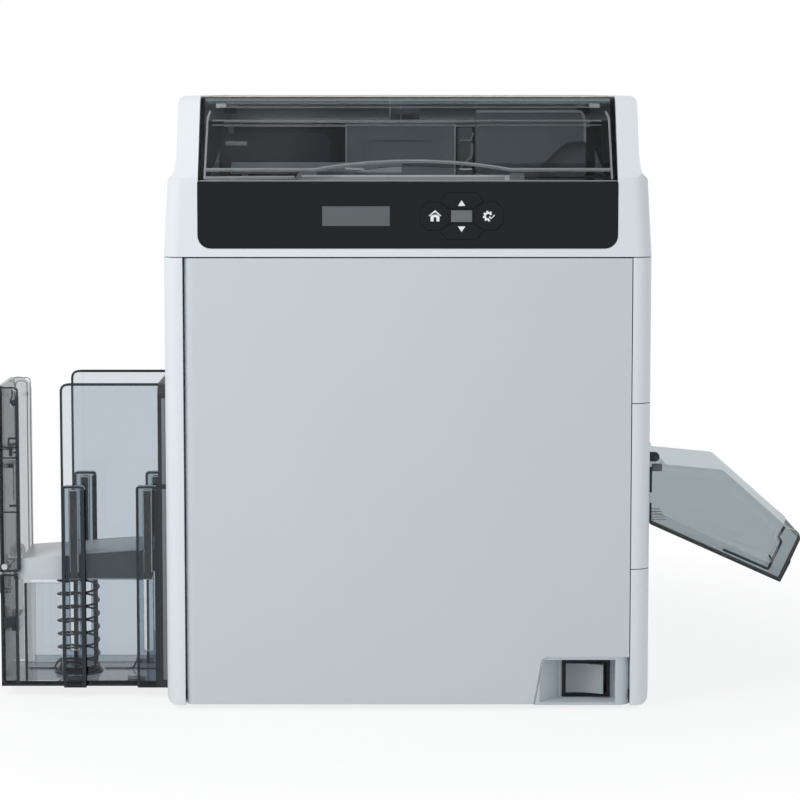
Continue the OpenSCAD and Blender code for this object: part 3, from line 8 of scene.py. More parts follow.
import bpy
import numpy as np
from bpy.props import FloatProperty, FloatVectorProperty, IntProperty, PointerProperty
from bpy.types import Operator, Panel, PropertyGroup
from mathutils import Euler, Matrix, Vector


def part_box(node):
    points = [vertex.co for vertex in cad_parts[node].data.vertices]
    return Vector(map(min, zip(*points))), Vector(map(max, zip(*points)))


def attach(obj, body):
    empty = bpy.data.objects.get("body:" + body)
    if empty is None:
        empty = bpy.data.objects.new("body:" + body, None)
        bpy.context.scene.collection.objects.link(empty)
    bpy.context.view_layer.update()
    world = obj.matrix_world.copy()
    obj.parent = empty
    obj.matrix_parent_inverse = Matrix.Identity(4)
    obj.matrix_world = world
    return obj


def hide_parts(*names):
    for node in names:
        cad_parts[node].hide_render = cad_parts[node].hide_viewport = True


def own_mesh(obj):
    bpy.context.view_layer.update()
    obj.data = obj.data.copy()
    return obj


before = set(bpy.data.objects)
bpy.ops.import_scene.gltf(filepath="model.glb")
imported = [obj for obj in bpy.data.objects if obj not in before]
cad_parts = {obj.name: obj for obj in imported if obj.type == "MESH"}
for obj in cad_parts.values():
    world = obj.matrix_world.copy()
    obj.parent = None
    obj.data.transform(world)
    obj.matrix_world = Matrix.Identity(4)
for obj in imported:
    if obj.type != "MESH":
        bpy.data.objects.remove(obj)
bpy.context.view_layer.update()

bl_info = {
    "name": "Card Printer",
    "version": (1, 0, 0),
    "blender": (4, 5, 0),
    "location": "3D View > Sidebar > Card Printer",
    "description": "Finishes, trim, lamps and camera for a desktop card printer",
    "category": "Object",
}

MM = 0.001
BODY = "printer_body"
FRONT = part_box("front_door")[0].y
MIDDLE_X = (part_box("collar")[0].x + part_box("collar")[1].x) / 2
# in millimetres: wall of the clear parts, how far a rim stands out of it, and width of the hopper's posts
CLEAR_WALL, PROUD, POST_WIDTH = 2.5, 0.06, 14.8


# ---- colours and properties ----

def linear(code):
    """Linear RGBA of an sRGB hex colour: a channel is c / 12.92 below 0.04045, else ((c + 0.055) / 1.055) ^ 2.4."""
    rgb = np.array([int(code[i:i + 2], 16) for i in (1, 3, 5)]) / 255
    return (*np.where(rgb < 0.04045, rgb / 12.92, ((rgb + 0.055) / 1.055) ** 2.4).tolist(), 1.0)


def colour(name, code, text):
    """Colour property with an sRGB hex default."""
    return FloatVectorProperty(name=name, description=text, subtype="COLOR", size=4, min=0, max=1,
                               default=linear(code))


def number(name, value, text, **more):
    """Number property with a default."""
    return FloatProperty(name=name, description=text, default=value, **more)


def length(name, size, text):
    """Length property with a default in millimetres."""
    return number(name, size * MM, text, unit="LENGTH", min=0, precision=5)


def tint(part, code):
    """Colour that a smoked part keeps as it thickens."""
    return colour(part + " tint", code, "Colour that the smoked polycarbonate keeps as it thickens")


def density(part, per_metre):
    """How much light a metre of a smoked part absorbs."""
    return number(part + " density", per_metre, "Absorption per metre of the smoked polycarbonate", min=0)


class PrinterFinish(PropertyGroup):
    """Colours and surface sizes that a user would change."""
    shell: colour("Shell", "#e3e7ea", "White ABS of the covers and the door")
    door: colour("Door", "#ccd2d7", "Cooler ABS of the front door")
    pan: colour("Base and recess", "#c3cbd0", "Pale grey ABS of the base pan and the switch pocket")
    gloss: colour("Gloss black", "#0a0f13", "High-gloss ABS of the control panel and keys")
    dark: colour("Black parts", "#1d2023", "Textured black ABS of the mounts, frames and bay floor")
    bay: colour("Bay blocks", "#979da1", "Grey ABS of the blocks under the lid")
    grey: colour("Grey parts", "#70777c", "Grey ABS blocks, cassettes and rollers")
    platform: colour("Platform", "#c9d0d3", "Pale grey ABS of the hopper's lifting platform")
    smoke: tint("Wall", "#638ca6")
    smoke_density: density("Wall", 165.0)
    gate_smoke: tint("Gate", "#5a6e74")
    gate_density: density("Gate", 260.0)
    lid_smoke: tint("Lid", "#8c9ba3")
    lid_density: density("Lid", 270.0)
    tray_smoke: tint("Tray", "#6b8f99")
    tray_density: density("Tray", 290.0)
    rim: colour("Clear parts' rims", "#2b3439", "Look of smoked polycarbonate seen through its edge")
    # painted highlights: the light silver grey of the lines of light on the lid and the gate
    bead: colour("Lid beads", "#9da1a4", "Moulded beads that catch the light inside the lid")
    # partly painted reflection: the dim grey of the lid's moulded bands
    band: colour("Lid bands", "#6c7175", "Moulded bands inside the lid")
    slide: colour("Platform slides", "#555c63", "Grey acetal of the platform's slides and apron")
    zinc: colour("Zinc plate", "#b8bec2", "Zinc-plated sheet steel")
    spring: colour("Spring steel", "#34383b", "Drawn spring wire")
    display: colour("Display", "#50575a", "Unlit liquid crystal display")
    # also the colour of the painted highlights in the bay
    ink: colour("Symbol ink", "#eef1f2", "White ink of the key symbols")
    grain: length("Grain", 0.35, "Width of one pit of the moulded grain")
    grain_depth: length("Grain depth", 0.012, "Depth of the moulded grain")


class PrinterTrim(PropertyGroup):
    """Sizes of the added pieces that a user would change."""
    symbol: length("Symbol", 8.4, "Width of the home symbol")
    ink_film: length("Ink film", 0.03, "Thickness of the printed symbols")
    screw_head: length("Screw head", 3.0, "Radius of the panel screws' heads")
    rim: length("Rim", 1.5, "Width of the dark rims round clear walls")
    round_steps: IntProperty(name="Round steps", description="Sides of a turned piece", min=12, default=40)


class PrinterStage(PropertyGroup):
    """Floor, lamps and camera."""
    floor: colour("Floor", "#f1f3f4", "Pale floor")
    lens: number("Lens", 119.6, "Focal length on a 36 mm sensor", min=10)
    distance: number("Distance", 1.7, "Distance from the door to the camera", unit="LENGTH", min=0.1)
    height: number("Height", 0.4015, "Height of the camera", unit="LENGTH")
    pitch: number("Pitch", math.radians(5.58), "Downward tilt of the camera", subtype="ANGLE")
    floor_fade: number("Floor fade", 0.82, "Share of backdrop in the floor near the printer", min=0, max=1)
    key_power: number("Key lamp", 4.6, "Power of the left softbox", unit="POWER")
    top_power: number("Top lamp", 1.0, "Power of the softbox above", unit="POWER")
    ambient: number("Ambient", 0.68, "Strength of the light from all round", min=0)


# ---- surfaces ----

def skin(name, stacks, finish, body, smooth=True):
    """Closed mesh from stacks of rings, with one of the materials in MADE.

    A stack is an array (rings, points, 3). Each ring is joined to the next with quads, closed on itself, and the first
    and last ring are shut by a fan to their own middle. A stack whose signed volume, the sum of a . (b x c) / 6 over
    its triangles, comes out negative has its faces turned over.
    """
    coords, quads, tris, base = [], [], [], 0
    for rings in stacks:
        n, m = rings.shape[:2]
        here, after = np.arange(m), (np.arange(m) + 1) % m
        row = np.arange(n - 1)[:, None] * m
        q = np.stack([row + here, row + after, row + m + after, row + m + here], -1).reshape(-1, 4)
        low, top = n * m, n * m + 1
        t = np.concatenate([
            np.stack([after, here, np.full(m, low)], -1),
            np.stack([(n - 1) * m + here, (n - 1) * m + after, np.full(m, top)], -1)])
        p = np.concatenate([rings.reshape(-1, 3), rings[0].mean(0)[None], rings[-1].mean(0)[None]])
        f = np.concatenate([q[:, :3], q[:, [0, 2, 3]], t])
        c = p - p.mean(0)
        if np.einsum("ij,ij->", c[f[:, 0]], np.cross(c[f[:, 1]], c[f[:, 2]])) < 0:
            q, t = q[:, ::-1], t[:, ::-1]
        coords.append(p)
        quads.append(q + base)
        tris.append(t + base)
        base += len(p)
    mesh = bpy.data.meshes.new(name)
    mesh.from_pydata(np.concatenate(coords).tolist(), [],
                     np.concatenate(quads).tolist() + np.concatenate(tris).tolist())
    mesh.polygons.foreach_set("use_smooth", np.full(len(mesh.polygons), smooth))
    if smooth:
        mesh.set_sharp_from_angle(angle=math.radians(32))
    mesh.materials.append(MADE[finish])
    piece = bpy.data.objects.new(name, mesh)
    bpy.context.scene.collection.objects.link(piece)
    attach(piece, body)
    return piece


def ring(radius, count, turn=0.0):
    """Circle: (r cos a, r sin a) for angles a spaced evenly from turn."""
    a = turn + np.arange(count) * 2 * np.pi / count
    return radius * np.stack([np.cos(a), np.sin(a)], -1)


def rounded(w, h, r, steps=5):
    """Rounded rectangle: four quarter circles of radius r, each about a corner centre (w / 2 - r, h / 2 - r)."""
    a = np.linspace(0, np.pi / 2, steps)
    arc = r * np.stack([np.cos(a), np.sin(a)], -1)
    turns = [np.array([[np.cos(k), np.sin(k)], [-np.sin(k), np.cos(k)]]) for k in np.arange(4) * np.pi / 2]
    middles = np.array([[1, 1], [-1, 1], [-1, -1], [1, -1]]) * [w / 2 - r, h / 2 - r]
    return np.concatenate([arc @ t + c for t, c in zip(turns, middles)])


def inset(loop, d):
    """Outline moved inwards by d: each point shifts along the mean of its two edges' normals, over the cosine of half
    the angle between them."""
    edge = np.roll(loop, -1, 0) - loop
    normal = np.stack([-edge[:, 1], edge[:, 0]], -1)
    normal /= np.linalg.norm(normal, axis=1, keepdims=True)
    both = normal + np.roll(normal, 1, 0)
    return loop + d * both * 2 / np.maximum((both * both).sum(1, keepdims=True), 0.4)


def slab(loop, low, high, edge=0.0, steps=3):
    """Plate between two heights with rounded edges: the outline moves in by e (1 - sin t) while the height runs
    e (1 - cos t) from each face, for t over a quarter turn."""
    if edge == 0:
        return np.stack([np.column_stack([loop, np.full(len(loop), z)]) for z in (low, high)])
    t = np.linspace(0, np.pi / 2, steps + 1)
    moves = np.concatenate([edge * (1 - np.sin(t)), edge * (1 - np.sin(t[::-1]))])
    levels = np.concatenate([low + edge * (1 - np.cos(t)), high - edge * (1 - np.cos(t[::-1]))])
    return np.stack([np.column_stack([inset(loop, d), np.full(len(loop), z)]) for d, z in zip(moves, levels)])


def turned(profile, count):
    """Turned form: every (radius, height) of the profile swept round the axis."""
    return np.stack([np.column_stack([ring(r, count), np.full(count, z)]) for r, z in profile])


def swept(path, section):
    """Section carried along a path of points: at each point it stands square to the tangent, the difference of the
    neighbours, and its own first axis stays square to the frame's up vector."""
    path = np.asarray(path, float)
    tangent = np.gradient(path, axis=0)
    tangent /= np.linalg.norm(tangent, axis=1, keepdims=True)
    side = np.cross(tangent, [0.0, 0.0, 1.0])
    flat = np.linalg.norm(side, axis=1, keepdims=True) < 1e-6
    side = np.where(flat, [1.0, 0.0, 0.0], side / np.maximum(np.linalg.norm(side, axis=1, keepdims=True), 1e-9))
    up = np.cross(side, tangent)
    return path[:, None] + section[None, :, :1] * side[:, None] + section[None, :, 1:] * up[:, None]


def route(points, radius, steps=6):
    """Path through points with rounded corners: each corner c becomes the quadratic curve
    (1 - t)^2 a + 2 t (1 - t) c + t^2 b between the points a and b that lie a radius before and after it."""
    pts = np.asarray(points, float)
    before, after = pts[:-2] - pts[1:-1], pts[2:] - pts[1:-1]
    a = pts[1:-1] + radius * before / np.linalg.norm(before, axis=1, keepdims=True)
    b = pts[1:-1] + radius * after / np.linalg.norm(after, axis=1, keepdims=True)
    t = np.linspace(0, 1, steps)[None, :, None]
    curve = (1 - t) ** 2 * a[:, None] + 2 * t * (1 - t) * pts[1:-1, None] + t ** 2 * b[:, None]
    return np.concatenate([pts[:1], curve.reshape(-1, pts.shape[1]), pts[-1:]])


def strip(path, width, y):
    """Flat strip along a path in X and Z, in millimetres from the body's middle: at each point the path moves half the
    width to both sides along its normal, the tangent turned a quarter, and the strip spans two depths in Y."""
    path = np.asarray(path, float)
    tangent = np.gradient(path, axis=0)
    tangent /= np.linalg.norm(tangent, axis=1, keepdims=True)
    normal = np.stack([-tangent[:, 1], tangent[:, 0]], -1) * width / 2
    low, high = path - normal, path + normal
    corners = np.stack([low, high, high, low], 1)
    depth = np.broadcast_to(np.array([y[0], y[0], y[1], y[1]], float)[None, :, None], (*corners.shape[:2], 1))
    return mm(np.concatenate([corners[..., :1], depth, corners[..., 1:]], -1))


def sheet_of(points, y):
    """Flat plate between two depths in Y with a given outline in X and Z, in millimetres from the body's middle."""
    loop = np.asarray(points, float)
    return mm(np.stack([np.column_stack([loop[:, 0], np.full(len(loop), v), loop[:, 1]]) for v in y]))


def extent(*nodes):
    """Low and high corners of nodes' boxes together, in millimetres from the body's middle."""
    boxes = np.array([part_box(node) for node in nodes])
    return ((boxes[:, 0].min(0) - [MIDDLE_X, 0, 0]) / MM, (boxes[:, 1].max(0) - [MIDDLE_X, 0, 0]) / MM)


def mm(points):
    """Millimetres from the middle of the body to metres in the frame."""
    return np.asarray(points, float) * MM + [MIDDLE_X, 0, 0]


FACING = {
    "front": ((1, 0, 0), (0, 0, 1), (0, -1, 0)),
    "rear": ((-1, 0, 0), (0, 0, 1), (0, 1, 0)),
}


def stand(stack, at, facing):
    """Stack moved from its own axes to the frame: local x, y and z run along the named face's right, up and out."""
    return np.asarray(at, float) + stack @ np.array(FACING[facing], float)


def screw_head(trim):
    """Domed head on its face: radii that fall from the rim to the middle while the height rises."""
    head = trim.screw_head / MM
    return turned([(head, 0.0), (head, 0.5), (head * 0.86, 1.1), (head * 0.55, 1.5), (head * 0.3, 1.6)],
                  trim.round_steps)


def clear_walls(node):
    """Depths that the front and the rear wall of a clear part span, each a hair proud on both faces."""
    low, high = extent(node)
    thick = CLEAR_WALL + PROUD
    return (low[1] - PROUD, low[1] + thick), (high[1] - thick, high[1] + PROUD)


def bar(x, y, z, edge=0.4):
    """Block with rounded edges between limits in millimetres from the body's middle."""
    x, y, z = (np.array(v, float) for v in (x, y, z))
    edge = min(edge, 0.4 * min(x[1] - x[0], y[1] - y[0], z[1] - z[0]))
    loop = rounded(x[1] - x[0], y[1] - y[0], edge, 3) + [x.mean(), y.mean()]
    return mm(slab(loop, z[0], z[1], edge * 0.9))


# ---- materials ----

def add(tree, kind, feeds=None, **settings):
    """Add a shader node, set its properties, and feed its inputs with values or with other nodes' outputs."""
    made = tree.nodes.new("ShaderNode" + kind)
    for key, value in settings.items():
        setattr(made, key, value)
    for key, value in (feeds or {}).items():
        if isinstance(value, bpy.types.NodeSocket):
            tree.links.new(value, made.inputs[key])
        else:
            made.inputs[key].default_value = value
    return made


def noise(tree, at, size, detail, **feeds):
    """Value of a noise whose features are about a size across, in metres."""
    return add(tree, "TexNoise", {"Vector": at, "Scale": 1 / size, "Detail": detail, **feeds}).outputs["Fac"]


def remap(tree, value, start, stop, low, high):
    """Value carried in a straight line from the range start to stop over to the range low to high."""
    return add(tree, "MapRange", {"Value": value, "From Min": start, "From Max": stop, "To Min": low,
                                  "To Max": high}).outputs["Result"]


def mixed(tree, share, first, second):
    """Colour that runs from the first to the second as the share runs from 0 to 1."""
    return add(tree, "Mix", {"Factor": share, 6: first, 7: second}, data_type="RGBA").outputs[2]


def relief(tree, height, depth, strength=1.0):
    """Normal of a face that a pattern raises by up to a depth."""
    return add(tree, "Bump", {"Height": height, "Distance": depth, "Strength": strength}).outputs["Normal"]


def darker(rgba, share):
    """Colour at a share of its strength."""
    return (*[c * share for c in rgba[:3]], 1.0)


def blank(name):
    """Empty material: its tree and the object coordinates that its patterns read."""
    material = bpy.data.materials.new(name)
    material.use_nodes = True
    material.node_tree.nodes.clear()
    return material, material.node_tree, add(material.node_tree, "TexCoord").outputs["Object"]


def close(material, base, rough, feeds, volume=None):
    """Joins a principled shader of a base colour and a roughness, and a volume if there is one, to the output."""
    tree = material.node_tree
    shader = add(tree, "BsdfPrincipled", {"Base Color": base, "Roughness": rough, **feeds})
    out = add(tree, "OutputMaterial", {"Surface": shader.outputs[0]})
    if volume:
        tree.links.new(volume.outputs[0], out.inputs["Volume"])
    return material


def moulded(name, rgba, rough, grain, depth, other=None, limit=0.0, blend=0.1 * MM):
    """Moulded plastic: pits as wide as the tool's grain in the bump, and a slow drift of shade and gloss over some
    60 mm from the way that the melt filled the mould. Another colour may fill the side left of a limit, and blend
    into this one over a given width."""
    material, tree, at = blank(name)
    flow = noise(tree, at, 62.5 * MM, 2.0)
    shade = mixed(tree, flow, darker(rgba, 0.97), rgba)
    if other:
        across = add(tree, "SeparateXYZ", {0: at}).outputs["X"]
        shade = mixed(tree, remap(tree, across, limit - blend, limit + blend, 1.0, 0.0), shade, other)
    pits = noise(tree, at, grain, 2.0, Roughness=0.55)
    return close(material, shade, remap(tree, flow, 0.3, 0.7, rough * 0.9, rough * 1.1),
                 {"Normal": relief(tree, pits, depth), "IOR": 1.53})


def polished(name, rgba, rough):
    """Gloss-moulded plastic: a mirror-polished tool leaves only a faint waviness some 25 mm across, and specks of
    dust lie some 2.4 mm apart."""
    material, tree, at = blank(name)
    dust = add(tree, "TexVoronoi", {"Vector": at, "Scale": 1 / (2.381 * MM)}).outputs["Distance"]
    wave = noise(tree, at, 25 * MM, 1.0)
    return close(material, rgba, remap(tree, dust, 0.0, 0.12, rough * 2.2, rough),
                 {"Normal": relief(tree, wave, 0.04 * MM), "IOR": 1.53, "Specular IOR Level": 0.2})


def smoked(name, tint, density, index=1.58):
    """Smoked polycarbonate, injection moulded: clear through a wall and nearly black through its edge, because the
    tint is in the body of the plastic; its gloss drifts a little every 18 mm with the waviness of the tool."""
    material, tree, at = blank(name)
    rough = 0.03
    gloss = remap(tree, noise(tree, at, 18.18 * MM, 1.0), 0.3, 0.7, rough * 0.6, rough * 1.6)
    body = add(tree, "VolumeAbsorption", {"Color": tint, "Density": density})
    return close(material, (1, 1, 1, 1), gloss, {"IOR": index, "Transmission Weight": 1.0}, body)


def plated(name, rgba, rough, spangle, stretch=(1, 1, 1)):
    """Metal sheet or bar: grains of the plating, or drawn lines where the pattern is stretched along one axis, vary
    the gloss and the shade."""
    material, tree, at = blank(name)
    laid = add(tree, "Mapping", {"Vector": at, "Scale": stretch}).outputs[0]
    crystals = add(tree, "TexVoronoi", {"Vector": laid, "Scale": 1 / spangle}).outputs["Color"]
    lines = noise(tree, laid, spangle / 3, 3.0)
    return close(material, mixed(tree, crystals, darker(rgba, 0.86), rgba),
                 remap(tree, lines, 0.3, 0.7, rough * 0.75, rough * 1.25),
                 {"Metallic": 1.0, "Normal": relief(tree, lines, 0.01 * MM)})


def elastic(name, rgba, rough):
    """Moulded rubber: a ground, matt skin with pits 0.4 mm wide, and pale dust in patches some 11 mm across."""
    material, tree, at = blank(name)
    pits, dust = noise(tree, at, 0.3846 * MM, 3.0), noise(tree, at, 11.11 * MM, 4.0)
    return close(material, mixed(tree, dust, rgba, tuple(min(1, c * 1.9) for c in rgba)), rough,
                 {"Normal": relief(tree, pits, 0.03 * MM), "IOR": 1.5})


def liquid_crystal(name, rgba):
    """Display: a glossy window over a cell whose square dots, 0.6 mm apart, show as faint lines."""
    material, tree, at = blank(name)
    cell = add(tree, "Mapping", {"Vector": at, "Scale": (1 / (0.6 * MM),) * 3})
    spread = add(tree, "VectorMath", {0: cell.outputs[0]}, operation="FRACTION")
    parts = add(tree, "SeparateXYZ", {0: spread.outputs[0]})
    low = add(tree, "Math", {0: parts.outputs["X"], 1: parts.outputs["Z"]}, operation="MINIMUM")
    line = add(tree, "Math", {0: low.outputs[0], 1: 0.16}, operation="GREATER_THAN")
    return close(material, mixed(tree, line.outputs[0], darker(rgba, 0.9), rgba), 0.35,
                 {"IOR": 1.5, "Coat Weight": 0.4, "Coat Roughness": 0.05})


def circuit(name):
    """Glass-fibre circuit board with green solder mask: copper tracks 1.2 mm apart show as slightly raised lines."""
    material, tree, at = blank(name)
    lay = add(tree, "Mapping", {"Vector": at, "Scale": (1 / (2.4 * MM),) * 3})
    black, white = (0, 0, 0, 1), (1, 1, 1, 1)
    tracks = add(tree, "TexBrick", {"Vector": lay.outputs[0], "Color1": black, "Color2": black, "Mortar": white,
                                    "Scale": 1.0, "Mortar Size": 0.05}).outputs["Fac"]
    return close(material, mixed(tree, tracks, linear("#1c5a39"), linear("#2f7d51")), 0.32,
                 {"Normal": relief(tree, tracks, 0.03 * MM), "IOR": 1.5})


def wound(name, rgba, sheen):
    """Film wound on a spool: the edges of its turns band the ends, drawn a millimetre apart so that they show, and the
    face is smooth and glossy."""
    material, tree, at = blank(name)
    turns = add(tree, "TexWave", {"Vector": at, "Scale": 1 / (1.6 * MM), "Distortion": 1.5, "Detail": 2.0},
                wave_type="BANDS", bands_direction="DIAGONAL").outputs["Fac"]
    return close(material, mixed(tree, turns, darker(rgba, 0.7), rgba), 0.22,
                 {"Metallic": sheen, "Normal": relief(tree, turns, 0.02 * MM, 0.6)})


MADE = {}


def make_finishes(look):
    """Fills MADE with one material for each real material and process."""

    def cast(name, rgba, rough, width=1.0, deep=1.0, **more):
        """Moulded plastic with the chosen grain, or with a multiple of its width and depth."""
        return moulded(name, rgba, rough, look.grain * width, look.grain_depth * deep, **more)

    MADE.update(
        # satin ABS from a spark-eroded tool: soft, even highlights with hardly any sparkle
        shell=cast("ABS_satin_moulded_white", look.shell, 0.42),
        # finer grain and a cooler resin, so the door reads a shade below the housing
        door=cast("ABS_satin_moulded_cool_grey", look.door, 0.36, deep=0.5),
        # duller than the covers, so the base and the pocket sink back under them
        pan=cast("ABS_satin_moulded_pale_grey", look.pan, 0.45),
        # mirror-polished tool: the panel reflects the room and shows as near black
        gloss=polished("ABS_gloss_moulded_black", look.gloss, 0.10),
        # coarser texture scatters the light, so that the black reads dark grey
        dark=cast("ABS_textured_moulded_black", look.dark, 0.52, 1.6, 2.0),
        # matt, so inner parts show their form by shade alone
        grey=cast("ABS_matt_moulded_grey", look.grey, 0.5),
        # grey blocks beside a black plate, so only the blocks stand out under the lid
        bay=cast("ABS_matt_moulded_mid_grey", look.bay, 0.5, other=linear("#2b303b"), limit=MIDDLE_X - 48 * MM),
        # pale enough to show through two smoked walls
        platform=cast("ABS_satin_moulded_grey", look.platform, 0.36),
        # an anti-glare coat, drawn as a lower index, keeps the room's white off the dark parts behind
        smoke=smoked("polycarbonate_clear_smoked_moulded", look.smoke, look.smoke_density, 1.36),
        # uncoated: a bright sheen lies over the grey-green depth
        tray=smoked("polycarbonate_tray_smoked_moulded", look.tray_smoke, look.tray_density),
        # coated like the walls, and denser, so it reads a shade darker than they do
        gate=smoked("polycarbonate_gate_deep_smoked_moulded", look.gate_smoke, look.gate_density, 1.36),
        # the strongest coat leaves little of the room's white in the lid
        lid=smoked("polycarbonate_lid_dark_smoked_anti_glare", look.lid_smoke, look.lid_density, 1.24),
        # light has crossed centimetres of tint before it leaves an edge, so edges read near black
        rim=polished("polycarbonate_smoked_edge_polished", look.rim, 0.16),
        # painted highlights: rounded beads gather the room's light, so they are coloured a light silver grey
        bead=cast("polycarbonate_bead_moulded_bright", look.bead, 0.3, deep=0.25),
        # flat bands gather less, and read dim beside the beads; their grey, lighter than the smoke, is partly painted
        # reflection of the lid's rim
        band=cast("polycarbonate_band_painted_reflection", look.band, 0.3, deep=0.25),
        # painted highlights: edges that catch the lamp, coloured in the symbols' white as the lightest lines inside the
        # bay
        white=cast("ABS_satin_painted_highlight_white", look.ink, 0.4, deep=0.5),
        # acetal is waxy, with a wide soft highlight
        slide=cast("acetal_satin_moulded_grey", look.slide, 0.38, deep=0.5),
        # spangles 4 mm wide break the sheen of the sheet into patches
        zinc=plated("steel_sheet_zinc_plated", look.zinc, 0.36, 4 * MM),
        # grinding marks draw the highlight out along the rod
        pin=plated("steel_rod_ground", linear("#c9cccf"), 0.2, 0.6 * MM, (1, 1, 12)),
        # a dark drawn skin with a thin line of light on each turn
        spring=plated("spring_steel_wire_drawn", look.spring, 0.3, 0.8 * MM),
        # hobbed teeth: warm flanks with fine lines across them
        brass=plated("brass_gear_hobbed", linear("#c9a55c"), 0.28, 0.8 * MM, (1, 8, 1)),
        # ground rubber gives back no highlight, only dust
        rubber=elastic("EPDM_rubber_ground", linear("#1f2123"), 0.75),
        # silicone is smoother, so it keeps a dull shine
        silicone=elastic("silicone_rubber_moulded_red", linear("#8e3b2b"), 0.6),
        # an unlit cell reads flat grey under the window's shine
        display=liquid_crystal("LCD_cell_under_acrylic_window", look.display),
        # tracks under the mask show as lighter green lines
        board=circuit("FR4_laminate_solder_masked"),
        # dyed ribbon: deep violet, banded at the ends
        ribbon=wound("PET_ribbon_wound", linear("#3b2a55"), 0.0),
        # metallised film: a straw-coloured sheen
        film=wound("PET_transfer_film_wound", linear("#b9b49c"), 0.4),
        # painted shade: one half of the tilted rocker turns away from the lamp, so it is coloured a shade darker,
        # blending over 7 mm
        rocker=cast("nylon_satin_grey_half_painted_shade", linear("#9aa0a2"), 0.36, other=linear("#7b8388"),
                    limit=middle("power_rocker")[0], blend=7 * MM),
        # matt ink: the symbols stay white at every angle on the glossy keys
        ink=cast("ink_pad_printed_white", look.ink, 0.5, deep=0.25),
        # vinyl hides the part under it with an even, chalky grey
        label=cast("vinyl_label_matt_pale", linear("#b7bec2"), 0.55, 2.0, 1 / 3),
        # an unlit light pipe is a milky grey
        light_pipe=cast("acrylic_diffuser_moulded", linear("#646a6c"), 0.3, deep=0.5),
    )


NODES = {
    "shell": "left_side_panel right_panel_lower right_panel_middle right_panel_upper rear_panel collar top_housing",
    "door": "front_door",
    "pan": "base_pan switch_recess",
    "platform": "hopper_platform",
    "gloss": "control_panel key_up key_down key_home key_settings power_switch rear_ports",
    "dark": "bay_deck hopper_mount exit_frame fan_frame fan_rotor turning_unit thermal_head",
    "bay": "bay_blocks",
    "grey": "ribbon_cassette film_cassette pinch_roller drive_motor",
    "lid": "top_lid",
    "smoke": "hopper_front_wall hopper_rear_wall",
    "gate": "hopper_base hopper_gate",
    "tray": "output_tray",
    "zinc": "door_hinges engine_front_plate engine_rear_plate power_supply",
    "pin": "hinge_pins",
    "spring": "hopper_spring",
    "brass": "motor_pinion",
    "rubber": "feet pick_roller feed_roller pressure_roller platen_roller drive_belt",
    "silicone": "heat_roller",
    "display": "display_window",
    "light_pipe": "status_light",
    "board": "keypad_board main_board",
    "ribbon": "ribbon_supply_spool ribbon_take_up_spool",
    "film": "film_supply_spool film_take_up_spool",
    "rocker": "power_rocker",
    "label": "bay_label_plate",
}


def dress(node, material):
    """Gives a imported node's object one material."""
    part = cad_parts[node]
    if not part.material_slots:
        part.data.materials.append(material)
    for place in part.material_slots:
        place.material = material


def middle(node):
    """Middle of a node's box at rest, in metres."""
    low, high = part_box(node)
    return (np.array(low) + np.array(high)) / 2


# ---- operators ----

class PRINTER_OT_finishes(Operator):
    """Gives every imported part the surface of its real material"""
    bl_idname = "printer.finishes"
    bl_label = "Finishes"

    def execute(self, context):
        make_finishes(context.scene.printer_finish)
        left = set(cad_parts) - set(" ".join(NODES.values()).split())
        if left:
            raise RuntimeError(f"no finish for {sorted(left)}")
        for key, group in NODES.items():
            for node in group.split():
                dress(node, MADE[key])
        return {"FINISHED"}


class PRINTER_OT_symbols(Operator):
    """Prints the symbols on the four keys"""
    bl_idname = "printer.symbols"
    bl_label = "Key symbols"

    def execute(self, context):
        trim = context.scene.printer_trim
        w, film = trim.symbol, trim.ink_film
        side_key, arrow_key = 17 * MM, 8.3 * MM
        face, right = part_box("key_home")[0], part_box("key_settings")[1].x
        cx, cz = (face.x + right) / 2, middle("status_light")[2]

        def printed(name, loops, x, z, body):
            stacks = [stand(slab(np.array(loop) * w, 0, film), (x, face.y, z), "front") for loop in loops]
            skin(name, stacks, "ink", body, smooth=False)

        arrow = np.array([[-0.285, -0.21], [0.285, -0.21], [0, 0.22]])
        printed("up_symbol", [arrow], cx, cz + arrow_key, "up_key")
        printed("down_symbol", [arrow * [1, -1]], cx, cz - arrow_key, "down_key")
        # house: a roof over two walls, with the doorway left open between them
        roof = [[-0.5, 0.02], [0, 0.46], [0.5, 0.02], [0.38, 0.02], [0, 0.30], [-0.38, 0.02]]
        left = np.array([[-0.34, 0.0], [-0.34, -0.4], [-0.1, -0.4], [-0.1, 0.17]])
        lintel = [[-0.1, -0.08], [0.1, -0.08], [0.1, 0.17], [0, 0.245], [-0.1, 0.17]]
        printed("home_symbol", [roof, left, left * [-1, 1], lintel], cx - side_key, cz, "home_key")
        # gear: an eight-toothed ring in wedges round an open middle, with a tick across its open lower right
        elbow = [[0.22, -0.23], [0.26, -0.13]]
        loops = [[[0.04, -0.06], [0.11, 0.0], *elbow[::-1]], [*elbow, [0.46, 0.12], [0.52, 0.06]]]
        for k in range(1, 13):
            a = np.linspace(k, k + 1, 4) * np.pi / 8
            arc = np.stack([np.cos(a), np.sin(a)], -1)
            loops.append(np.concatenate([arc * 0.17, arc[::-1] * (0.32 if k % 2 else 0.41)]))
        printed("settings_symbol", loops, cx + side_key, cz, "settings_key")
        return {"FINISHED"}


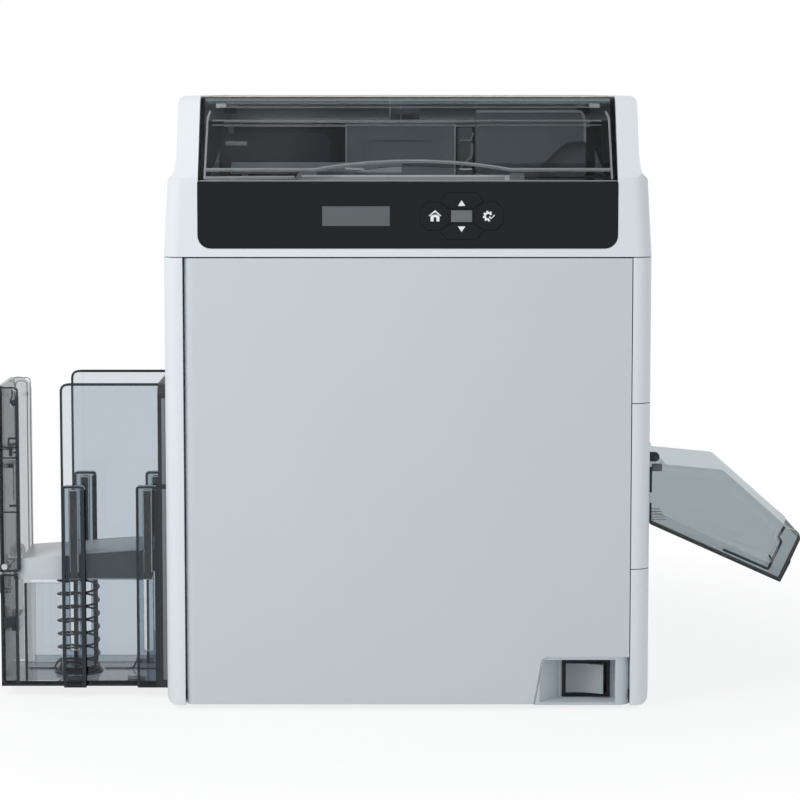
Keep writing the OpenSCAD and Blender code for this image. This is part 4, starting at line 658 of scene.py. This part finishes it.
class PRINTER_OT_hopper_rims(Operator):
    """Draws the dark polished rims of the hopper's clear walls, posts, gate and foot, strips of painted shade in the
    posts, painted highlights on the gate's rear, and the screens of its foot
    """
    bl_idname = "printer.hopper_rims"
    bl_label = "Hopper rims"

    def execute(self, context):
        for side in ("front", "rear"):
            self.wall(side, context.scene.printer_trim.rim / MM)
        front, rear = clear_walls("hopper_gate")
        self.gate(front, rear)
        self.foot(front, rear)
        return {"FINISHED"}

    def wall(self, side, width):
        """Rim over a wall's free edges, a hoop round each of its two posts, and a broad dark strip of painted shade
        along each post's right edge.
        """
        low, high = extent(f"hopper_{side}_wall")
        inner, outer = (high[1], low[1]) if side == "front" else (low[1], high[1])
        face = inner + math.copysign(CLEAR_WALL, outer - inner)
        half, foot, top, shade = width / 2, low[2] + 0.3, 141, 2.6
        edge = [(low[0] + half, 10.5), (low[0] + half, high[2] - half), (high[0], high[2] - half)]
        stacks = [strip(route(edge, 5), width, (min(inner, face) - PROUD, max(inner, face) + PROUD))]
        near, far = min(face, outer) - PROUD, max(face, outer)
        for x in (low[0] + 1.2, high[0] - POST_WIDTH):
            left, right, line = x + half, x + POST_WIDTH - half, x + POST_WIDTH - shade / 2
            hoop = route([(left, foot), (left, top), (right, top), (right, foot)], 1.8)
            # each post's second strip is painted shade: a dark band along its right edge
            stacks += [strip(hoop, width, (near, far)),
                       strip([(line, foot + 1), (line, top - 2)], shade, (near + 0.02, far - 0.1))]
        skin(f"hopper_{side}_rim", stacks, "rim", BODY)

    def gate(self, front, rear):
        """Rim round the gate's front, its hinge-side edge and three bars; two fine lines of painted highlight show on
        the rear.
        """
        low, high = extent("hopper_gate")
        x0, x1, z0, z1, seam = low[0] + 0.6, low[0] + 12.8, low[2] + 0.7, high[2] - 0.8, 120
        deep, half_deep = (front[0] - 0.04, front[1] + 0.04), (front[0] - 0.04, front[0] + 1.66)
        hoop = route([(x0, seam), (x0, z1), (x1, z1), (x1, z0), (x0, z0), (x0, seam + 1)], 3)
        bars = [strip([(x0, z), (x1, z)], 0.9, half_deep) for z in (123.6, 159.8, 166.8)]
        skin("gate_rim", [strip(hoop, 1.1, front), strip([(x1 - 0.3, z0 + 1), (x1 - 0.3, z1 - 6)], 2.2, deep), *bars],
             "rim", "gate")
        # painted highlights: two fine light lines on the gate's rear
        beads = [strip(route([(x0 + k, z0), (x0 + k, z1 - k), (x1 - k, z1 - k), (x1 - k, z0)], 3), 0.5, rear)
                 for k in (0, 2.2)]
        skin("gate_rear_bead", beads, "bead", "gate")

    def foot(self, front, rear):
        """Rim of the foot, and the low clear sheets that close it between its flanges and the posts."""
        low, high = extent("hopper_base")
        x0, x1, z0, z1 = low[0] + 0.6, low[0] + 11.2, low[2] + 0.7, 81.4
        floor, top, post = 10.2, 76, extent("hopper_front_wall")[0][0] - 0.3
        rib, channel = (-254.4, -252.7), (-252.6, -247.1)

        def screen(left, right, y):
            return sheet_of([(left, floor), (left, top), (right, top), (right, floor)], (y[0] + 0.05, y[1] - 0.05))

        corner = route([(x1, z1), (x0, z1), (x0, z0 + 2.2), (x0 + 3.5, z0), (high[0], z0)], 2)
        stacks = [strip([(x1 - 0.4, z1 - 1), (x1 - 0.4, z0)], 2.0, (front[0] - 0.04, front[1] + 0.04)),
                  *[strip(corner, 1.1, y) for y in (front, rear)]]
        skin("foot_rim", stacks, "rim", BODY)
        skin("foot_screens", [screen(channel[1] + 0.1, post, front), screen(x1 + 0.6, post, rear)], "smoke", BODY,
             smooth=False)
        # the liners end clear of the platform, which passes them on its way down
        thick = 1.8
        skin("foot_liners", [bar((x0 + 1, x1 - 4.6), (y, y + thick), (12, 72))
                             for y in (front[1] + 0.54, rear[0] - 0.64 - thick)], "gate", BODY)
        skin("foot_channel", [screen(*channel, front)], "gate", BODY, smooth=False)
        skin("foot_rib", [bar(rib, front, (floor, top), 0.2)], "rim", BODY)


class PRINTER_OT_hopper_fittings(Operator):
    """Adds the gate's catch and latch, the platform's slides and apron, the spring and its seat, and the floor clips"""
    bl_idname = "printer.hopper_fittings"
    bl_label = "Hopper fittings"

    def execute(self, context):
        self.catch()
        self.platform()
        low, high = extent("hopper_spring")
        x, y = (low[:2] + high[:2]) / 2
        self.coil(low, high, x, y)
        seat = turned([(16.4, 10.02), (16.4, 10.8), (15.6, 11.3), (14.9, 11.3), (14.9, 10.02)], 40)
        skin("spring_seat", [mm(seat + [x, y, 0])], "rim", BODY)
        self.floor()
        return {"FINISHED"}

    def catch(self):
        """Ball, bent spring, latch and pull on the gate's front, and the latch of the foot. The ball is turned from
        the profile (r cos a, r sin a)."""
        left, right, face = -263.4, -257.9, extent("hopper_gate")[0][1]
        thin, thick, ball_r = (face - 0.15, face + 1.2), (face - 0.2, face + 1.8), 2.3
        a = np.linspace(-np.pi / 2, np.pi / 2, 9)[1:-1]
        ball = mm(turned(ball_r * np.stack([np.cos(a), np.sin(a)], -1), 20) + [-259.6, face + 1.4, 196.4])
        spring = route([(-260.6, 205), (-260.6, 200.5), (-261.8, 198), (-261.8, 196)], 0.8)
        latch = route([(right, 172.8), (left, 172.8), (left, 168.8), (right, 168.8)], 0.4)
        skin("gate_catch", [ball, strip(spring, 0.9, (face - 0.4, face + 1.6)),
                            strip(latch, 1.2, (face - 0.2, face + 1.6)),
                            bar((left + 0.1, -261), thick, (161, 165.8), 0.3), bar((-260.8, right), thick, (163, 164)),
                            strip([(-260.4, 157.2), (-260.4, 131.8)], 0.5, thin),
                            bar((left - 0.1, right), thin, (127.3, 128.6), 0.2)], "rim", "gate")
        skin("foot_latch", [bar((-268.6, -260.4), (face - 0.3, face + 2.7), (45.9, 53.3), 0.6)], "rim", BODY)

    def platform(self):
        """Slides over the platform's tongues, an apron on its long sides between the posts, and a pale strip of painted
        highlight along the apron's top edge.
        """
        wall, plate = extent("hopper_front_wall"), extent("hopper_platform")
        posts = (wall[0][0] + 1.2 + POST_WIDTH / 2, wall[1][0] - POST_WIDTH / 2)
        tongues, aprons = ((-138.1, -131.9), (-74.1, -67.9)), ((-132.2, -131.6), (-74.4, -73.8))
        foot, top = plate[0][2] + 4.5, plate[1][2] + 0.1
        slides = [mm(slab(rounded(5.8, y[1] - y[0], 0.9, 4) + [x, sum(y) / 2], foot, top, 1.2))
                  for x in posts for y in tongues]
        skin("platform_slides", slides, "rim", "platform")
        left, right, foot, top, rise = -213, -179.5, plate[0][2] + 4, 95.4, 2.2

        def wedge(low, high, y):
            return sheet_of([(left, low[0]), (left, high), (right, high + rise), (right, low[1])], y)

        skin("platform_apron", [wedge((foot, foot), top, y) for y in aprons], "slide", "platform",
             smooth=False)
        # painted highlight: a pale strip along the top edge of the apron
        skin("platform_bead", [wedge((top + 0.1, top + 0.1 + rise), top + 1.2, (aprons[0][0] - 0.2, aprons[0][1]))],
             "platform", "platform", smooth=False)

    def floor(self):
        """Raised line with three bent clips across the hopper's floor, and a low upstand at its rear."""
        line, foot, left, right, ground = (-96.6, -95.6), 10.4, -257, -166, 10.2
        clips = [strip(route([(x, foot), (x + 3.4, foot), (x + 6, foot + 5), (x + 10, foot + 5)], 0.8), 1.1, line)
                 for x in (-243.5, -240, -190)]
        clips += [bar(x, line, (10.1, 10.9), 0.2) for x in ((left, -239.2), (-205.4, right))]
        skin("floor_clips", clips, "rim", BODY)
        upstand = [(left + 1, ground), (left + 1, 15), (right, 15), (right, ground)]
        skin("floor_upstand", [sheet_of(upstand, (-76.2, -74))], "gate", BODY, smooth=False)

    def coil(self, low, high, x, y):
        """Drawn wire in a helix: the height stays for the last three quarters of a turn at both ends and rises evenly
        between, z = z0 + (z1 - z0) clamp((t - 3/4) / turns), and the end turns close up by one wire."""
        # lift is the platform's travel, which the coil gives up
        wire, turns, end, lift = 0.75, 7.5, 0.75, 46.0
        radius, tall = (high[0] - low[0]) / 2 - 0.9, high[2] - low[2]
        t = np.linspace(0, turns + 2 * end, 320)
        z = low[2] + wire + (tall - 2 * wire) * np.clip((t - end) / turns, 0, 1)
        z += wire * 2.1 * (np.minimum(t, end) / end - 1 + np.maximum(t - turns - end, 0) / end)
        z = np.clip(z, low[2] + wire, high[2] - wire)
        angle = 2 * np.pi * t
        path = np.column_stack([x + radius * np.cos(angle), y + radius * np.sin(angle), z])
        piece = skin("spring_coil", [mm(swept(path, ring(wire, 8)))], "spring", BODY)
        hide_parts("hopper_spring")
        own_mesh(piece)


class PRINTER_OT_bay_fittings(Operator):
    """Adds the lips of the cross bar, rear rail and blocks, and the small mouldings seen through the lid, all coloured
    bright white as painted highlights
    """
    bl_idname = "printer.bay_fittings"
    bl_label = "Bay fittings"

    def execute(self, context):
        face, bar_top = extent("bay_blocks")[0][1], extent("bay_deck")[1][2]
        bar_y, rail_y, rail_top = -50.0, 107.8, 382.0
        on_bar = (-125, 125), (bar_y - 0.7, bar_y + 0.4)
        on_rail = (-115, 120), (rail_y, rail_y + 0.6)
        # painted highlights: bright white lips along the cross bar, the rear rail and a block's edge
        lips = [bar(*on_bar, (bar_top - 1.2, bar_top + 0.15), 0.3), bar(*on_bar, (bar_top - 3.6, bar_top - 2.9), 0.3),
                *[bar(*on_rail, (rail_top - z, rail_top - z + h), 0.3) for z, h in ((1.4, 1.2), (5.4, 1.0))],
                bar((-121.3, -107.0), (face - 0.6, face), (364.9, 367.6), 0.25)]
        skin("bay_lip_highlights", lips, "white", BODY)
        # painted highlights on the corners of the blocks: two uprights, a hooked top edge, a ledge and a bracket, and
        # two pegs
        upright, hooked, bracket, peg = (-86.3, -86.0), (-80.6, -80.0), (-70.6, -70.0), (-20.4, -20.0)
        small = [*[bar(x, upright, (345, 378.8), 0.1) for x in ((-41.6, -40.8), (31.4, 32.3))],
                 strip(route([(46.5, 387.4), (117.6, 387.4), (119.4, 380), (119.4, 367)], 3), 1.6, hooked),
                 strip(route([(35, 368), (43, 368), (44.5, 373)], 1), 0.8, bracket),
                 strip(route([(36, 349), (40, 354), (43.6, 357), (43.6, 366)], 2), 1.6, bracket),
                 *[bar((x - 0.6, x + 0.6), peg, (378, 391.5), 0.15) for x in (-12.0, -4.5)]]
        skin("bay_block_edge_highlights", small, "white", BODY)
        return {"FINISHED"}


class PRINTER_OT_lid_trim(Operator):
    """Adds the bands inside the lid: the frame, the grip's arch and the sill with its two catches. The bands' grey is
    partly painted reflection of the rim, and fine lines on them are painted highlights.
    """
    bl_idname = "printer.lid_trim"
    bl_label = "Lid trim"

    def execute(self, context):
        low, high = extent("top_lid")
        foot, top, run = low[2], high[2], 28.5
        lean, sill, flat = run / (top - foot), foot + 2.4, foot + 7.2

        def on_front(path, width, out=0.15, sink=0.5):
            """Strip that follows the leaning front: each point's depth grows by the lean times its height."""
            stack = strip(path, width, (low[1] - out, low[1] + sink))
            stack[..., 1] += (stack[..., 2] - foot * MM) * lean
            return stack

        def level(left, right, z, width, out=0.15):
            return on_front([(left, z), (right, z)], width, out)

        def arch(z, width, out=0.15):
            """Level line that swells over the grip: z + 5.4 (1 - u^2), u from -1 to 1 over 63 mm each way."""
            u = np.linspace(-1, 1, 29)
            swell = np.column_stack([3 + 63 * u, z + 5.4 * (1 - u ** 2)])
            return on_front(np.concatenate([[(-129.5, z)], swell, [(130, z)]]), width, out)

        # the bands: moulded frame, arch and sill, coloured lighter than the smoke as partly painted reflection
        bands = [arch(flat, 2.2), on_front([(-129.5, foot + 2.0), (-72.5, foot + 2.3)], 2.2), level(-68, 64, sill, 3.2),
                 level(-126, 125, foot + 38.4, 1.0), level(-126, 125, foot + 35.5, 0.5),
                 level(-117, 120, top - 7.0, 0.6), level(-117, 120, top - 4.4, 0.5)]
        skin("lid_bands_painted_reflection", bands, "band", "lid")
        # painted highlights: lines of light on the arch, sill, foot, grip, corner posts and upper corners
        posts = ((-130.0, -129.2, -127.5), (130.6, 129.8, 127.8))
        beads = [arch(flat + 0.6, 0.8, 0.2), level(-68, 64, sill + 1.0, 0.9, 0.2),
                 on_front([(-129.5, foot + 2.6), (-72.5, foot + 2.9)], 0.6, 0.2), level(62, 65, sill, 3.2, 0.22),
                 level(-133.6, 133.6, foot + 0.35, 0.5, 0.2),
                 on_front([(-40, flat + 1.0), (-28, flat + 0.2)], 1.1, 0.2), level(33, 41, flat + 0.4, 0.8),
                 *[on_front(route([(a, foot + 1.4), (b, top - 14), (c, top - 9.5)], 2), 1.3) for a, b, c in posts],
                 level(-124, -117.5, top - 6, 2.6), level(117.5, 124, top - 6, 2.6)]
        skin("lid_beads", beads, "bead", "lid")
        catches = [on_front([(-72.5, foot + 0.7), (-69, foot + 5.2), (-58, foot + 5.2)], 1.0),
                   level(-70.5, -58.5, foot + 2.8, 4.2), level(65, 74.5, foot + 2.8, 4.4)]
        skin("lid_catches", catches, "slide", "lid")
        return {"FINISHED"}


class PRINTER_OT_body_trim(Operator):
    """Adds the seal round the switch pocket, black strips of painted seam shadow beside the door and the ribs of the
    hopper's mount
    """
    bl_idname = "printer.body_trim"
    bl_label = "Body trim"

    def execute(self, context):
        door_low, door_high = extent("front_door")
        low, high = extent("switch_recess")
        left, front = low[0] - 0.55, FRONT / MM
        seal = route([(door_high[0] - 3, high[2] + 0.35), (left + 6, high[2] + 0.35), (left, low[2] + 0.4)], 4.6)
        skin("pocket_seal", [strip(seal, 0.55, (front + 0.4, front + 5))], "door", BODY)
        # painted shadow: a black rubber strip beside each upright edge of the door darkens the seam into a fine line
        seam_shadow = [bar(x, (front + 0.02, front + 0.4), (door_low[2], door_high[2] + 0.6), 0.1)
                  for x in ((door_low[0] - 1.3, door_low[0] - 0.5), (door_high[0] + 0.5, door_high[0] + 1.3))]
        skin("door_seam_shadow", seam_shadow, "rubber", BODY)
        low, high = extent("hopper_mount")
        ribs = [bar((low[0] + 2.6, high[0] - 1), (low[1] - 0.3, low[1] + 0.1), z, 0.1) for z in ((12, 140), (143, 200))]
        skin("mount_ribs", ribs, "grey", BODY)
        return {"FINISHED"}


class PRINTER_OT_tray_trim(Operator):
    """Draws the tray's dark edge, end slot and border, and adds the blocks and pin caps at its hinge"""
    bl_idname = "printer.tray_trim"
    bl_label = "Tray trim"

    def execute(self, context):
        low, high = extent("output_tray")
        left, right, foot, tip, y = low[0] + 0.9, high[0], 115.8, low[2], low[1]
        front = (y - 0.12, y + 2.6)
        edge = [(left, foot + 14), (left, foot + 0.6), (right - 13.4, tip + 0.6), (right - 6.6, tip + 14)]
        slot = [(209.2, 98.6), (239.2, 85.6), (247.6, 103.9), (245.6, 106.9), (249.6, 114)]
        skin("tray_rim", [strip(route(edge, 1.2), 1.2, front), strip(route(slot, 1.0), 1.7, front),
                          strip([(left, 137), (left, 154)], 1.6, front)], "rim", "tray")
        # moulded border inside the front wall, a shade denser than the wall
        border = [(left + 1, 152), (left + 44, 148.6), (right - 15, 110.6), (right - 19, 92), (left + 1, foot + 5.5)]
        skin("tray_border", [strip(route(border, 2), 5.0, (y - 0.75, y - 0.25))], "tray", "tray",
             smooth=False)
        lines = [strip([(160.8, foot + 2.8 + 1.8 * k), (171 - k, foot + 2.8 + 1.8 * k)], 0.4, front) for k in range(5)]
        skin("tray_blocks", [bar((161.3, 168.2), (y - 0.3, y + 2.4), (151, 156), 0.5), *lines], "slide", "tray")
        pivot_x, pivot_z = 163, 161
        cap = turned([(2.3, 0.0), (2.3, 0.9), (1.8, 1.2)], 24)[..., [0, 2, 1]]
        caps = [mm(cap * [1, side, 1] + [pivot_x, lug[1] + side * 0.02, pivot_z])
                for side, lug in zip((-1, 1), extent("exit_frame"))]
        skin("tray_pin_caps", caps, "rim", BODY)
        return {"FINISHED"}


class PRINTER_OT_rear_fittings(Operator):
    """Adds the cross-headed screws of the rear panel, the fan and the power supply"""
    bl_idname = "printer.rear_fittings"
    bl_label = "Rear fittings"

    def execute(self, context):
        trim = context.scene.printer_trim
        long, short = trim.screw_head / MM * 1.1, trim.screw_head / MM * 0.22
        cross = [slab(rounded(*sides, trim.screw_head / MM * 0.05, 2), 1.35, 1.64)
                 for sides in ((long, short), (short, long))]
        # panel, fan and power supply
        fan_x, fan_z = sum(extent("fan_frame"))[::2] / 2
        spots = [(x, z) for x in (-138, 138) for z in (20, 150, 284)]
        spots += [(fan_x + dx, fan_z + dz) for dx in (-25, 25) for dz in (-25, 25)] + [(58, 60), (126, 60)]
        rear, dome = extent("rear_panel")[1][1], screw_head(trim)
        heads = [mm(stand(dome, (x, rear - 1.62, z), "rear")) for x, z in spots]
        marks = [mm(stand(c, (x, rear - 1.66, z), "rear")) for x, z in spots for c in cross]
        skin("rear_screws", heads, "pin", BODY)
        skin("rear_screw_slots", marks, "rim", BODY)
        return {"FINISHED"}


class PRINTER_OT_engine_fittings(Operator):
    """Adds the plate's screws and the cassettes' bare labels and grips, which show when the door is open"""
    bl_idname = "printer.engine_fittings"
    bl_label = "Engine fittings"

    def execute(self, context):
        dome = screw_head(context.scene.printer_trim)
        low, high = extent("engine_front_plate")
        spots = [(x, z) for x in (low[0] + 10, 0, high[0] - 10) for z in (high[2] - 8, 146)]
        skin("engine_screws", [mm(stand(dome, (x, low[1] + 0.02, z), "front")) for x, z in spots], "pin", BODY)
        labels, grips = [], []
        for node in ("ribbon_cassette", "film_cassette"):
            low, high = extent(node)
            x, face, top = (low[0] + high[0]) / 2, low[1], high[2]
            labels.append(bar((x - 17, x + 17), (face - 0.12, face + 0.05), (top - 22, top - 11), 0.05))
            grips += [bar((x - 12, x + 12), (face - 1.2, face + 0.05), (low[2] + k, low[2] + k + 1.4), 0.3)
                      for k in (8, 11.5, 15)]
        skin("cassette_labels", labels, "label", BODY, smooth=False)
        skin("cassette_grips", grips, "dark", BODY)
        return {"FINISHED"}


class PRINTER_OT_stage(Operator):
    """Makes the floor, the lamps, the world and the camera"""
    bl_idname = "printer.stage"
    bl_label = "Stage"

    def execute(self, context):
        scene, stage = context.scene, context.scene.printer_stage
        self.board(scene, stage, 4.0)
        self.room(scene, stage)
        self.lamp("key_softbox", (-0.75, -0.85, 0.85), 0.5, stage.key_power)
        self.lamp("top_softbox", (-0.35, -0.55, 1.15), 0.6, stage.top_power)
        data = bpy.data.cameras.new("camera")
        data.sensor_width, data.lens, data.shift_y = 36, stage.lens, -0.0625
        camera = bpy.data.objects.new("camera", data)
        camera.location = (MIDDLE_X - 5 * MM, FRONT - stage.distance, stage.height)
        camera.rotation_euler = Euler((math.pi / 2 - stage.pitch, 0, 0))
        scene.collection.objects.link(camera)
        scene.camera = camera
        scene.view_settings.view_transform = "Standard"
        return {"FINISHED"}

    def board(self, scene, stage, size):
        """Square painted board under the printer. It fades into the backdrop some 0.4 m away and keeps its shadow
        near the printer."""
        mesh = bpy.data.meshes.new("floor")
        mesh.from_pydata([(-size, -size, 0), (size, -size, 0), (size, size, 0), (-size, size, 0)], [], [(0, 1, 2, 3)])
        floor = bpy.data.objects.new("floor", mesh)
        scene.collection.objects.link(floor)
        material, tree, at = blank("painted_board_pale_matt")
        paper = relief(tree, noise(tree, at, 1.111 * MM, 2.0), 0.2 * MM, 0.3)
        matt = add(tree, "BsdfDiffuse", {"Color": stage.floor, "Normal": paper}).outputs[0]
        white = add(tree, "Emission", {"Color": (1, 1, 1, 1), "Strength": 1.0}).outputs[0]
        away = add(tree, "VectorMath", {0: at}, operation="LENGTH").outputs["Value"]
        fade = remap(tree, away, 0.28, 0.5, stage.floor_fade, 1.0)
        both = add(tree, "MixShader", {0: fade, 1: matt, 2: white}).outputs[0]
        mix = add(tree, "MixShader", {0: self.seen(tree), 1: matt, 2: both})
        add(tree, "OutputMaterial", {"Surface": mix.outputs[0]})
        mesh.materials.append(material)

    def room(self, scene, stage):
        """White backdrop for the camera, and a softer, cooler light from all round for the surfaces."""
        world = bpy.data.worlds.new("studio")
        scene.world = world
        world.use_nodes = True
        tree = world.node_tree
        tree.nodes.clear()
        white = add(tree, "Background", {"Color": (1, 1, 1, 1), "Strength": 1.0})
        soft = add(tree, "Background", {"Color": linear("#f6f9fb"), "Strength": stage.ambient})
        mix = add(tree, "MixShader", {0: self.seen(tree), 1: soft.outputs[0], 2: white.outputs[0]})
        add(tree, "OutputWorld", {"Surface": mix.outputs[0]})

    def seen(self, tree):
        """1 for rays from the camera and for those that a gloss or a clear wall passes on, else 0."""
        path = add(tree, "LightPath")
        first = add(tree, "Math", {0: path.outputs["Is Camera Ray"], 1: path.outputs["Is Glossy Ray"]},
                    operation="MAXIMUM")
        return add(tree, "Math", {0: first.outputs[0], 1: path.outputs["Is Transmission Ray"]},
                   operation="MAXIMUM").outputs[0]

    def lamp(self, name, place, size, power):
        """Square softbox at a place, turned to face the printer's middle."""
        light = bpy.data.lights.new(name, "AREA")
        light.shape, light.size, light.energy = "SQUARE", size, power
        lamp = bpy.data.objects.new(name, light)
        lamp.location = place
        lamp.rotation_euler = (Vector((0, 0, 0.2)) - Vector(place)).to_track_quat("-Z", "Y").to_euler()
        bpy.context.scene.collection.objects.link(lamp)


STEPS = [PRINTER_OT_finishes, PRINTER_OT_symbols, PRINTER_OT_hopper_rims, PRINTER_OT_hopper_fittings,
         PRINTER_OT_bay_fittings, PRINTER_OT_lid_trim, PRINTER_OT_tray_trim, PRINTER_OT_body_trim,
         PRINTER_OT_rear_fittings, PRINTER_OT_engine_fittings, PRINTER_OT_stage]


class PRINTER_PT_sidebar(Panel):
    """Lists the printer's operators"""
    bl_idname = "PRINTER_PT_sidebar"
    bl_label = "Card Printer"
    bl_space_type = "VIEW_3D"
    bl_region_type = "UI"
    bl_category = "Card Printer"

    def draw(self, context):
        for step in STEPS:
            self.layout.operator(step.bl_idname)


CLASSES = [PrinterFinish, PrinterTrim, PrinterStage, *STEPS, PRINTER_PT_sidebar]


def register():
    """Adds the classes and the scene's three property groups."""
    for made in CLASSES:
        bpy.utils.register_class(made)
    bpy.types.Scene.printer_finish = PointerProperty(type=PrinterFinish)
    bpy.types.Scene.printer_trim = PointerProperty(type=PrinterTrim)
    bpy.types.Scene.printer_stage = PointerProperty(type=PrinterStage)


def unregister():
    """Takes them away again."""
    for group in ("printer_finish", "printer_trim", "printer_stage"):
        delattr(bpy.types.Scene, group)
    for made in reversed(CLASSES):
        bpy.utils.unregister_class(made)


def main():
    register()
    for step in STEPS:
        group, call = step.bl_idname.split(".")
        getattr(getattr(bpy.ops, group), call)()


if __name__ == "__main__":
    main()
